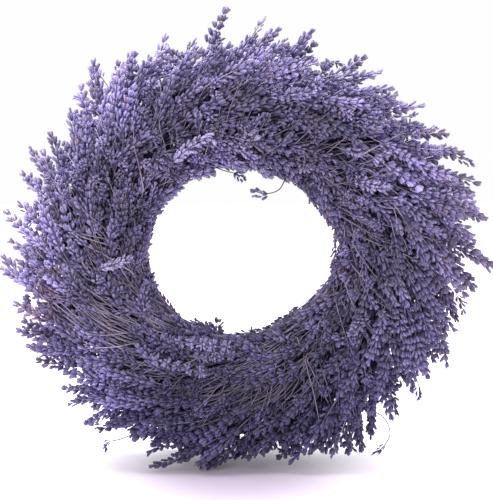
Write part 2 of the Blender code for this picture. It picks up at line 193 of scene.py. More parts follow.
def unbent(z):
    """The height that bend_to_surface takes to z."""
    room = BEND_HEIGHT - BEND_LEAST
    pressed = BEND_HEIGHT + room * np.log(np.maximum(1 - (BEND_HEIGHT - z) / room, 1e-6))
    return np.where(z >= BEND_HEIGHT, z, pressed)


def unpressed_place(theta, rho, psi):
    """Points at theta, rho from the bundle line at psi round it."""
    radius = bundle_radius(theta) + rho * np.cos(psi)
    height = CENTRE_HEIGHT + radius * np.cos(theta)
    return np.stack([radius * np.sin(theta), -rho * np.sin(psi), height], -1)


def place_of(theta, rho, psi):
    """The same points, pressed flat where they would reach the surface."""
    points = unpressed_place(theta, rho, psi)
    points[..., 2] = bend_to_surface(points[..., 2])
    return points


def spray_place(start, rho, psi):
    """Points of the sprays that start at an angle, rho from the bundle line."""
    return place_of(start + sweep(rho, psi), rho, psi)


def start_of(theta, psi):
    """Where the spray starts that leaves the massed stems at theta and psi."""
    return theta - float(sweep(core_reach(psi), psi))


def off_bundle(points):
    """The angles of some points round the wreath, and how far outside the bundle line."""
    up = points[:, 2] - CENTRE_HEIGHT
    theta = np.arctan2(points[:, 0], up)
    return theta, np.hypot(points[:, 0], up) - bundle_radius(theta)


def whole_turn(psi):
    """Angles round the bundle, counted on from the first corner."""
    return np.where(psi < CORNERS[0], psi + 2 * math.pi, psi)


def spray_of(points):
    """The start angle, rho and psi of the sprays that pass through some points."""
    up = unbent(points[:, 2]) - CENTRE_HEIGHT
    theta = np.arctan2(points[:, 0], up)
    out = np.hypot(points[:, 0], up) - bundle_radius(theta)
    rho, psi = np.hypot(out, points[:, 1]), whole_turn(np.arctan2(-points[:, 1], out))
    return theta - sweep(rho, psi), rho, psi


def start_angles(rng):
    """Where round the ring each place's bunches are bound."""
    pitch = 2 * math.pi / PLACES
    return np.array(
        [i * pitch + rng.uniform(-PLACE_JITTER, PLACE_JITTER) for i in range(PLACES)]
    )


def bunch_ends(starts):
    """Where each place's bunches end and the next place's start."""
    return np.append(starts[1:], starts[0] + 2 * math.pi)


def cell_of(theta0, starts):
    """The places whose bunches the sprays with these start angles belong to."""
    gone = (np.atleast_1d(theta0)[:, None] - starts) % (2 * math.pi)
    return np.argmax(gone < bunch_ends(starts) - starts, axis=1)


def row_of(psi):
    """0, 1 or 2 for the outer, face or inner row, and -1 behind the ring."""
    psi = np.atleast_1d(psi)
    row = np.full(psi.shape, -1)
    for i, angles in reversed(list(enumerate(ROWS.values()))):
        row[(psi >= angles[0]) & (psi <= angles[-1])] = i
    return row


def owner_of(start, psi, starts):
    """The number of the bunch that the spray with this start angle and psi belongs to."""
    return int(row_of(psi)[0]) * PLACES + int(cell_of(start, starts)[0])


def core_owners(points, starts):
    """A number for the bunch whose massed stems are round each point: -1 above them all."""
    start, rho, psi = spray_of(points)
    row = row_of(psi)
    owner = row * PLACES + cell_of(start, starts)
    owner[rho > core_reach(np.clip(psi, CORNERS[0], CORNERS[-1])) + CORE_FACETS] = -1
    steel = row < 0
    owner[steel] = np.where(rho[steel] < STEEL_ZONE, -2, -1)
    return owner


def normalised(vectors):
    return vectors / np.sqrt((vectors * vectors).sum(-1, keepdims=True))


def crossed(a, b):
    """The cross products of two arrays of vectors, quicker than numpy's for short ones."""
    x = a[..., 1] * b[..., 2] - a[..., 2] * b[..., 1]
    y = a[..., 2] * b[..., 0] - a[..., 0] * b[..., 2]
    z = a[..., 0] * b[..., 1] - a[..., 1] * b[..., 0]
    return np.stack([x, y, z], -1)


# Directions that a line is never quite along: the second is for lines that run in depth.
ASIDE = np.array((0.31, 0.87, 0.38))
ASIDE_OF_DEPTH = np.array((0.9, 0.1, 0.4))
AROUND = np.arange(8)[:, None] * math.pi / 4


def within_own_cores(lines, radii, owner, starts):
    """For each line, True if a tube along it stays out of the other bunches' massed stems."""
    direction = normalised(lines[:, 1:] - lines[:, :-1])
    side = normalised(crossed(direction, ASIDE))
    other = crossed(direction, side)
    around = side[:, :, None] * np.cos(AROUND) + other[:, :, None] * np.sin(AROUND)
    tube = lines[:, :-1, None] + around * np.asarray(radii)[: direction.shape[1], None, None]
    found = core_owners(tube.reshape(-1, 3), starts).reshape(len(lines), -1)
    return ((found == -1) | (found == owner)).all(axis=1)


def turn_at(radius):
    """How far the flow leaves the circle at a distance from the wreath's middle."""
    share = min(1.0, max(0.0, (radius - TURN_START) / TURN_RUN))
    return TURN_AT_HOLE + (TURN_AT_RIM - TURN_AT_HOLE) * share


def head_line(theta, psi, turn, rise, lift, length):
    """Points along a head, from its base to its tip: its stem's rise, then its own run."""
    rho = float(core_reach(psi))
    out, front = rho * math.cos(psi), rho * math.sin(psi)
    normal = Vector(
        (
            (out - SECTION_OFFSET_OUT) / SECTION_HALF_WIDTH**2,
            (front - SECTION_OFFSET_FRONT) / SECTION_HALF_DEPTH**2,
        )
    ).normalized()
    outward = 1.0 - min(1.0, max(0.0, (psi - HOLE_SIDE + 0.6) / 0.6))
    steep = rise / math.sin(STEM_LIFT)
    points = []
    for i in range(round((steep + length) / HEAD_STEP) + 1):
        radius = BUNDLE_MEAN - BUNDLE_SWING * math.cos(2 * theta) + out
        points.append((radius * math.sin(theta), -front, CENTRE_HEIGHT + radius * math.cos(theta)))
        angle = turn_at(radius) + turn
        climb = STEM_LIFT if i * HEAD_STEP < steep else lift
        step_out = math.sin(angle) * outward * math.cos(climb) + math.sin(climb) * normal.x
        step_front = math.sin(climb) * normal.y
        square = min(0.96, step_out**2 + step_front**2)
        theta += HEAD_STEP * math.sqrt(1 - square) / radius
        out += HEAD_STEP * step_out
        front += HEAD_STEP * step_front
    points = np.array(points)
    points[:, 2] = bend_to_surface(points[:, 2])
    return points


def head_radii(count, radius):
    """The radius of the space that a head takes at each point of its line."""
    share = np.clip((np.arange(count) / (count - 1) - 0.60) / 0.40, 0, 1)
    return radius * (1.0 - 0.40 * share**1.3)


def head_at(rng, theta, psi, stem, turn, starts):
    """A head with its foot at theta and psi, or None if it can't lie there."""
    rho, start = float(core_reach(psi)), start_of(theta, psi)
    owner = owner_of(start, psi, starts)
    small = ROW_NAMES[owner // PLACES] == "inner_bunch"
    root_depth = min(ROOT_DEPTH, ROOT_DEPTH_SHARE * (rho - CORE_START))
    head = {
        "owner": owner,
        "small": small,
        "length": SMALL_HEAD_LENGTH if small else HEAD_LENGTH * rng.uniform(0.90, 1.08),
        "radius": SMALL_HEAD_RADIUS if small else HEAD_RADIUS * rng.uniform(0.92, 1.06),
    }
    rng.uniform(0, 2 * math.pi)  # The solid head's turn, which is drawn here and has no use.
    root = spray_place(start, rho - root_depth, psi)
    length = stem + head["length"]
    count = round(head["length"] / HEAD_STEP) + 1
    lines = np.array(
        [
            head_line(theta, psi, turn, rise, math.radians(lift), length)[-count:]
            for rise, lift in RISES
        ]
    )
    sunk = root + (lines[:, :1] - root) * np.linspace(0, 1, ROOT_POINTS)[:, None]
    radii = head_radii(count, head["radius"])
    free = within_own_cores(sunk, [ROOT_SPACE] * ROOT_POINTS, owner, starts)
    if free.any():
        free &= within_own_cores(lines, radii + HEAD_OVER_CORE, owner, starts)
    if not free.any():
        return None
    points, sunk = lines[np.argmax(free)], sunk[np.argmax(free)]
    return {
        **head,
        "points": points,
        "line": np.concatenate([sunk[:-1:2], points]),
        "space": np.concatenate([sunk, points]),
        "space_radii": np.concatenate([[STEM_RADIUS] * ROOT_POINTS, radii]),
    }


def random_head(rng, row, place, starts):
    """A random head of one bunch, or None if it can't lie where it was drawn."""
    start = starts[place] + rng.random() * (bunch_ends(starts)[place] - starts[place])
    psi = rng.uniform(ROWS[row][0], ROWS[row][-1])
    theta = float(start + sweep(core_reach(psi), psi))
    fringe = math.exp(-((psi / CORE_FRINGE_SPREAD) ** 2))
    stem = fringe * FRINGE_STEM * rng.random()
    return head_at(rng, theta, psi, stem, rng.gauss(0, 1) * TURN_SPREAD, starts)


def resting_head(rng, across, front, starts):
    """A random head whose tip lies on the surface, near across and front."""
    theta = math.pi - across / CENTRE_HEIGHT - rng.uniform(0.30, 0.60)
    psi = math.asin(front / float(core_reach(0.0))) + rng.gauss(0, 0.05)
    head = head_at(rng, theta, psi, RESTING_STEM, rng.uniform(-0.1, 0.3), starts)
    if head is None:
        return None
    tip = head["points"][-3]
    off = max(abs(tip[0] - across), abs(-tip[1] - front))
    return head if off < RESTING_SPREAD and tip[2] < RESTING_AXIS else None


def binding_corners(starts):
    """The binding wire's corners: in front between the bunches, then over the ring behind."""
    corners = []
    ends = bunch_ends(starts)
    for start, end in zip(starts, ends):
        corners += [spray_place(start, WIRE_LINE, psi) for psi in CORNERS]
        low = start + sweep(WIRE_LINE, CORNERS[-1])
        high = end + sweep(WIRE_LINE, CORNERS[0])
        corners.append(place_of(low, BACK_LINE, BACK_ANGLES[0]))
        corners.append(place_of(high, BACK_LINE, BACK_ANGLES[1]))
    return np.array(corners)


def clear_of_heads(head, heads):
    """True if a head and its stem keep their distance from those already placed."""
    for other in heads:
        if np.linalg.norm(head["points"][0] - other["points"][0]) > HEADS_MEET_WITHIN:
            continue
        if other["owner"] == head["owner"]:
            apart = head["points"][:, None] - other["points"]
            if (np.linalg.norm(apart, axis=2) < SAME_BUNCH_SPACING).any():
                return False
            continue
        apart = np.linalg.norm(head["space"][:, None] - other["space"], axis=2)
        least = HEAD_CLEARANCE + head["space_radii"][:, None] + other["space_radii"]
        if (apart < least).any():
            return False
    return True


def model_heads():
    """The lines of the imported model's heads, and where its bunches start."""
    rng = random.Random(SEED)
    starts = start_angles(rng)
    corners = binding_corners(starts)
    steps = np.arange(6)[:, None] / 6
    wire = np.concatenate([a + (b - a) * steps for a, b in zip(corners, corners[1:])])
    heads = []

    def place(draw, *where):
        for _ in range(HEAD_TRIES):
            head = draw(rng, *where, starts)
            if head is None or not clear_of_heads(head, heads):
                continue
            apart = np.linalg.norm(head["space"][:, None] - wire, axis=2)
            least = HEAD_CLEARANCE + head["space_radii"][:, None] + BINDING_RADIUS
            if not (apart < least).any():
                heads.append(head)
                return

    for across in RESTING_ACROSS:
        for front in RESTING_FRONT:
            place(resting_head, across, front)
    for row, count in HEAD_COUNTS.items():
        for bunch in range(count * PLACES):
            place(random_head, row, bunch % PLACES)
    return heads, starts


# The seeds of what scene.py draws for itself.
SPIKE_SEED, FILL_SEED, STEM_SEED, PIECE_SEED = 5, 41, 77, 9

# Lavender as it grows: a spike is whorls of calyxes on a thin stem. The parts of a calyx
# are given as shares of its length and of its radius.
CALYX_LENGTH = 0.0079
CALYX_RADIUS = 0.00138
CALYX_BODY = 0.53
CALYX_FOOT_WIDTH, CALYX_MOUTH_WIDTH = 0.80, 0.98
CALYX_FOOT_DROP, CALYX_TIP_RISE = 0.27, 0.16
CALYX_MISSING = 0.10
CALYX_SIDES = 4
BALL_OPENING = 59
WHORL_LEAN = 0.22
TIP_NARROWS = 0.42
TOP_CALYX = 0.85
CALYX_WIDTHS = (0.9, 1.1)
CALYX_SIZES = (0.84, 1.14)
CALYX_OPENS = (0.45, 1.35)
CALYX_STANDS_OFF = (0.0008, 0.0030)
CALYX_UNEVEN = 0.0009
BALL_COSINES = (-0.6, 1.0)
CALYX_POINTS = 2 * CALYX_SIDES + 2
SPIKE_LENGTHS = {
    "full": 0.056,
    "loose": 0.056,
    "thin": 0.040,
    "beaded": 0.056,
    "sprig": 0.022,
    "rosette": 0.011,
}
SPIKE_STEM_RADIUS = SPRIG_STEM_RADIUS = 0.0007
BACK_STEM_RADIUS = 0.0006
BARE_STEM_RADIUS = 0.0005
MODELLED_HEAD_RADIUS = 0.0078

# The kinds of spike: how many whorls, calyxes in each, how far those open, the share
# of the spike that its first whorl stands off, and the size of the calyxes.
SPIKE_KINDS = {
    "full": [
        (7, 9, 35, 0.15, 1.00),
        (8, 8, 31, 0.17, 1.02),
        (9, 7, 29, 0.12, 0.97),
        (7, 8, 38, 0.22, 1.02),
        (8, 7, 33, 0.15, 1.06),
        (6, 9, 36, 0.26, 1.02),
        (8, 8, 29, 0.10, 0.95),
    ],
    "loose": [
        (7, 6, 31, 0.26, 0.95),
        (6, 6, 29, 0.30, 0.92),
        (6, 5, 35, 0.20, 0.90),
        (5, 5, 31, 0.36, 0.92),
    ],
    "thin": [(8, 4, 22, 0.14, 0.76), (7, 4, 20, 0.18, 0.72), (6, 4, 26, 0.20, 0.80)],
    "beaded": [(5, 17, 62, 0.25, 0.78), (5, 16, 60, 0.25, 0.80)],
    "sprig": [(4, 4, 24, 0.30, 0.80), (3, 4, 22, 0.36, 0.78), (4, 3, 28, 0.26, 0.84)],
    "rosette": [(2, 9, 40, 0.50, 0.92), (2, 8, 46, 0.50, 0.88), (2, 10, 36, 0.60, 0.84)],
}


def nothing_selected():
    bpy.ops.object.select_all(action="DESELECT")


def mark(mesh, along, shade):
    """Stores how far along its part each point is, and the part's own random shade."""
    growth = mesh.attributes.get("growth") or mesh.attributes.new("growth", "FLOAT_VECTOR", "POINT")
    values = np.zeros((len(mesh.vertices), 3), np.float32)
    values[:, 0], values[:, 1] = along, shade
    growth.data.foreach_set("vector", values.ravel())
    rib = mesh.attributes.get("rib") or mesh.attributes.new("rib", "FLOAT", "POINT")
    turned = [math.atan2(vert.co.y, vert.co.x) for vert in mesh.vertices]
    middle = np.array([vert.co.xy.length < 1e-5 for vert in mesh.vertices])
    ribs = 0.5 + 0.5 * np.cos(2 * np.array(turned)) * ~middle
    rib.data.foreach_set("value", ribs.astype(np.float32))


def model_calyx():
    """One calyx along +Z from the origin: a ribbed bud that is widest above its middle."""
    nothing_selected()
    bpy.ops.mesh.primitive_cylinder_add(
        vertices=CALYX_SIDES,
        radius=CALYX_RADIUS,
        depth=CALYX_LENGTH * CALYX_BODY,
        end_fill_type="TRIFAN",
        location=(0, 0, CALYX_LENGTH * CALYX_BODY),
    )
    calyx = bpy.context.object
    calyx.name = "calyx"
    bpy.ops.object.transform_apply(location=True, rotation=True, scale=True)

    def shape(keep, **change):
        bpy.ops.object.mode_set(mode="EDIT")
        bpy.ops.mesh.select_all(action="DESELECT")
        bpy.ops.object.mode_set(mode="OBJECT")
        for vert in calyx.data.vertices:
            vert.select = keep(vert.co)
        bpy.ops.object.mode_set(mode="EDIT")
        if "scale" in change:
            bpy.ops.transform.resize(value=(change["scale"], change["scale"], 1))
        else:
            bpy.ops.transform.translate(value=(0, 0, change["rise"]))
        bpy.ops.object.mode_set(mode="OBJECT")

    middle, rim = CALYX_LENGTH * CALYX_BODY, 1e-5
    foot_drop, tip_rise = -CALYX_LENGTH * CALYX_FOOT_DROP, CALYX_LENGTH * CALYX_TIP_RISE
    shape(lambda co: co.z < middle and co.xy.length > rim, scale=CALYX_FOOT_WIDTH)
    shape(lambda co: co.z > middle and co.xy.length > rim, scale=CALYX_MOUTH_WIDTH)
    shape(lambda co: co.z < middle and co.xy.length < rim, rise=foot_drop)
    shape(lambda co: co.z > middle and co.xy.length < rim, rise=tip_rise)
    return calyx


def model_spike(rng, calyx, length, whorls, around, opening, first_gap, size):
    """A spike along +Z: whorls of calyxes, joined from copies of the one calyx."""
    made = []

    def add(z, bearing, angle, scale, out):
        copy = calyx.copy()
        copy.data = calyx.data.copy()
        bpy.context.collection.objects.link(copy)
        turn = Matrix.Rotation(bearing, 4, "Z") @ Matrix.Rotation(angle, 4, "Y")
        place = Matrix.Translation((out * math.cos(bearing), out * math.sin(bearing), z))
        spin = Matrix.Rotation(rng.uniform(0, 2 * math.pi), 4, "Z")
        stretch = Matrix.Diagonal((scale * rng.uniform(*CALYX_WIDTHS),) * 2 + (scale, 1))
        along = [vert.co.z / CALYX_LENGTH for vert in copy.data.vertices]
        mark(copy.data, along, rng.random())
        copy.data.transform(place @ turn @ spin @ stretch)
        made.append(copy)

    pitch = (1 - first_gap) / (whorls - 1)
    top = length - TOP_CALYX * CALYX_LENGTH * size
    for i in range(whorls):
        share = 0.0 if i == 0 else first_gap + (i - 1) * pitch
        lean, toward = rng.uniform(0, WHORL_LEAN), rng.uniform(0, 2 * math.pi)
        z = top * share
        narrow = 1.0 - TIP_NARROWS * share**2
        phase = rng.uniform(0, 2 * math.pi)
        count = around if i < whorls - 1 else max(3, around - 3)
        for k in range(count):
            bearing = phase + (k + rng.uniform(-0.3, 0.3)) * 2 * math.pi / count
            if rng.random() < CALYX_MISSING:
                continue
            angle = math.radians(opening) * narrow * rng.uniform(*CALYX_OPENS)
            angle += lean * math.cos(bearing - toward)
            out = size * narrow * rng.uniform(*CALYX_STANDS_OFF)
            if i == whorls - 1:
                angle, out = angle * 0.6, out * 0.5
            scale = size * (0.74 + 0.26 * narrow) * rng.uniform(*CALYX_SIZES)
            rise = 0.0008 * (k % 2) + rng.uniform(-CALYX_UNEVEN, CALYX_UNEVEN)
            if opening > BALL_OPENING:
                angle = math.acos(rng.uniform(*BALL_COSINES))
                rise, out = 0.0005 * math.cos(angle), 0.0006
            add(z + rise, bearing, angle, scale, out)
    nothing_selected()
    for copy in made:
        copy.select_set(True)
    bpy.context.view_layer.objects.active = made[0]
    bpy.ops.object.join()
    return bpy.context.object


def shape_of(obj, length):
    """A modelled piece as arrays, and the piece itself is taken away."""
    mesh = obj.data
    mesh.calc_loop_triangles()

    def read(data, key, width, kind=np.float32):
        values = np.empty(len(data) * width, kind)
        data.foreach_get(key, values)
        return values.reshape(-1, width)

    growth = read(mesh.attributes["growth"].data, "vector", 3)
    ribs = read(mesh.attributes["rib"].data, "value", 1)
    made = {
        "points": read(mesh.vertices, "co", 3).astype(float),
        "faces": read(mesh.loop_triangles, "vertices", 3, np.int32),
        "growth": np.column_stack([growth, ribs]),
        "length": length,
    }
    bpy.data.objects.remove(obj, do_unlink=True)
    return made


def model_spikes():
    """Every kind of spike, each modelled once."""
    rng = random.Random(SPIKE_SEED)
    calyx = model_calyx()
    shapes = {}
    for kind, variants in SPIKE_KINDS.items():
        length = SPIKE_LENGTHS[kind]
        shapes[kind] = [
            shape_of(model_spike(rng, calyx, length, *variant), length) for variant in variants
        ]
    mark(calyx.data, [vert.co.z / CALYX_LENGTH for vert in calyx.data.vertices], 0.5)
    return shapes, shape_of(calyx, CALYX_LENGTH)


def along_line(line):
    """The distance gone at each point of a line, and a direction across all of it."""
    steps = np.concatenate([[0], np.cumsum(np.linalg.norm(line[1:] - line[:-1], axis=1))])
    mean = line[-1] - line[0]
    aside = ASIDE if abs(mean[1]) < 0.7 * np.linalg.norm(mean) else ASIDE_OF_DEPTH
    return steps, normalised(crossed(mean, aside))


def points_along(line, steps, gone):
    """The points of a line at some distances along it."""
    return np.stack([np.interp(gone, steps, line[:, k]) for k in range(3)], 1)


def carried(shape, line, length, width, spin):
    """A spike's points carried onto the end of a line, its length and width scaled."""
    steps, across = along_line(line)
    x, y, z = shape["points"].T
    gone = steps[-1] - length + z * length / shape["length"]
    centre = points_along(line, steps, gone)
    ahead, behind = (points_along(line, steps, gone + by) for by in (0.002, -0.002))
    direction = normalised(ahead - behind + normalised(line[-1] - line[-2]) * 1e-6)
    centre += direction * np.maximum(gone - steps[-1], 0)[:, None]
    centre += direction * np.minimum(gone, 0)[:, None]
    side = normalised(crossed(direction, across))
    other = crossed(direction, side)
    u = (x * math.cos(spin) - y * math.sin(spin)) * width
    v = (x * math.sin(spin) + y * math.cos(spin)) * width
    return centre + side * u[:, None] + other * v[:, None]


def tube(line, radius, tip_share=0.6, sides=3, spacing=0.007):
    """A thin closed stem along a line."""
    steps, across = along_line(line)
    count = max(3, round(steps[-1] / spacing) + 1)
    gone = np.linspace(0, steps[-1], count)
    centre = points_along(line, steps, gone)
    direction = normalised(np.gradient(centre, axis=0))
    side = normalised(crossed(direction, across))
    other = crossed(direction, side)
    radii = radius * np.linspace(1, tip_share, count)
    angles = np.arange(sides) * 2 * math.pi / sides
    rings = centre[:, None] + radii[:, None, None] * (
        side[:, None] * np.cos(angles)[:, None] + other[:, None] * np.sin(angles)[:, None]
    )
    faces = []
    for i in range(count - 1):
        for k in range(sides):
            a, b = i * sides + k, i * sides + (k + 1) % sides
            faces += [(a, b, b + sides), (a, b + sides, a + sides)]
    last = (count - 1) * sides
    faces += [(0, k + 1, k) for k in range(1, sides - 1)]
    faces += [(last, last + k, last + k + 1) for k in range(1, sides - 1)]
    growth = np.full((count * sides, 4), 0.5, np.float32)
    growth[:, 0] = np.repeat(np.linspace(0, 1, count), sides)
    return rings.reshape(-1, 3), np.array(faces, np.int32), growth


class Bunch:
    """The parts of one piece, gathered as arrays and then made one mesh."""

    def __init__(self):
        self.points, self.faces, self.growth, self.finish = [], [], [], []
        self.count = 0

    def add(self, points, faces, growth, finish, shade):
        """One part more, with its material's number and a shade of its own."""
        growth = growth.copy()
        growth[:, 2] = shade
        self.points.append(points)
        self.faces.append(faces + self.count)
        self.growth.append(growth)
        self.finish.append(np.full(len(faces), finish, np.int32))
        self.count += len(points)

    def made(self, name, materials):
        """The piece itself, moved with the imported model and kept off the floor."""
        points = np.concatenate(self.points) + SHIFT
        points[:, 2] = np.maximum(points[:, 2], OVER_FLOOR)
        faces = np.concatenate(self.faces)
        mesh = bpy.data.meshes.new(name)
        mesh.vertices.add(len(points))
        mesh.vertices.foreach_set("co", points.astype(np.float32).ravel())
        mesh.loops.add(len(faces) * 3)
        mesh.loops.foreach_set("vertex_index", faces.astype(np.int32).ravel())
        mesh.polygons.add(len(faces))
        mesh.polygons.foreach_set("loop_start", np.arange(len(faces), dtype=np.int32) * 3)
        mesh.polygons.foreach_set("material_index", np.concatenate(self.finish))
        mesh.polygons.foreach_set("use_smooth", np.ones(len(faces), bool))
        grown = np.concatenate(self.growth).astype(np.float32)
        growth = mesh.attributes.new("growth", "FLOAT_VECTOR", "POINT")
        growth.data.foreach_set("vector", grown[:, :3].ravel())
        ribs = mesh.attributes.new("rib", "FLOAT", "POINT")
        ribs.data.foreach_set("value", grown[:, 3].copy())
        for material in materials:
            mesh.materials.append(material)
        mesh.update()
        obj = bpy.data.objects.new(name, mesh)
        bpy.context.scene.collection.objects.link(obj)
        return obj


def shift_of_model():
    """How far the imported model's box was moved to lie over the origin."""
    low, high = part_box("wire_ring")
    behind = -RING_PLACE * math.sin(RING_ANGLE)
    return np.array([(low.x + high.x) / 2, (low.y + high.y) / 2 - behind, 0.0])


SHIFT = shift_of_model()
OVER_FLOOR = 0.0002
BLOOM, STEM, MASS = 0, 1, 2

# Each row's massed stems: how far they lie under the solids' outline, and how many
# single calyxes cover them.
MASS_DEPTH = {"outer_bunch": 0.0038, "face_bunch": 0.0038, "inner_bunch": -0.0035}
MASS_CUTS = 5
MASS_UNEVEN = 0.0025
THATCH = {"outer_bunch": 260, "face_bunch": 150, "inner_bunch": 170}
THATCH_HEIGHT = 0.001

# Behind the ring: the angle of a bunch's back, which way is out, its stems and calyxes.
BACKS = {"outer_bunch": (CORNERS[0], -1, 44, 60), "inner_bunch": (CORNERS[-1], 1, 22, 14)}


def mass_depth(row, psi):
    """How far a row's massed stems lie under the solids' outline at psi."""
    return np.interp(np.degrees(psi), (95, 125), (MASS_DEPTH["face_bunch"], MASS_DEPTH[row]))


def mass_of_stems(row, place, starts):
    """A bunch's massed stems: a cube, subdivided and carried into the wreath's flow."""
    nothing_selected()
    bpy.ops.mesh.primitive_cube_add(size=1.0, location=(0.5, 0.5, 0.5))
    block = bpy.context.object
    bpy.ops.object.transform_apply(location=True, rotation=True, scale=True)
    bpy.ops.object.mode_set(mode="EDIT")
    bpy.ops.mesh.select_all(action="SELECT")
    bpy.ops.mesh.subdivide(number_cuts=MASS_CUTS)
    bpy.ops.object.mode_set(mode="OBJECT")
    mark(block.data, [0.5] * len(block.data.vertices), 0.5)
    shape = shape_of(block, 1.0)
    across, round_it, out = shape["points"].T
    angles = ROWS[row]
    psi = angles[0] + (angles[-1] - angles[0]) * round_it
    rho = CORE_START + (core_reach(psi) - mass_depth(row, psi) - CORE_START) * out
    rng = np.random.default_rng(place * 3 + ROW_NAMES.index(row))
    rho = rho + (out > 0.99) * rng.uniform(-MASS_UNEVEN, MASS_UNEVEN, len(rho))
    start, end = starts[place], bunch_ends(starts)[place]
    theta = start + (end - start) * (0.01 + 0.98 * across) + sweep(rho, psi)
    growth = shape["growth"].copy()
    growth[:, 0], growth[:, 1] = across, round_it
    return place_of(theta, bulged(theta, rho, psi), psi), shape["faces"][:, ::-1], growth


# How far the camera looks down, how much one pixel of its view shows at the wreath, and
# the pixel of the hole's middle: places given in pixels are turned into metres by these.
LOOK_DOWN = math.radians(6)
PIXEL = 0.000913
HOLE_PIXEL = (242, 251)
HOLE_ACROSS = -0.0075
VIEW_TARGET = (-0.0034, 0.0, 0.1970)
VIEW_PIXEL = (246.5, 250)
VIEW_SIDE = 500
LENS, SENSOR = 85.0, 36.0
DISTANCE = VIEW_SIDE * PIXEL * LENS / SENSOR

# The stage: the floor, the wreath's soft shadow painted on it, and the light.
FLOOR_PLACE, FLOOR_SIZE = (0, 0.6, 0), (8, 6, 1)
SHADE_SHIFT = (0.014, 0.062, 0.0)
SHADE_REACH = 0.21
SKY_COLOUR = (1.0, 0.99, 1.0, 1.0)
SKY_LIGHT, SKY_SHOWN = 0.62, 1.0
LIT_POINT = (0, 0, 0.2)
SOFTBOXES = {
    "key_softbox": ((-0.40, 0.10, 1.45), 1.0, 38.0),
    "front_softbox": ((-0.45, -1.5, 1.0), 1.2, 12.0),
}

# How strong the bump of the dry grain is on every material.
GRAIN_BUMP = 0.6

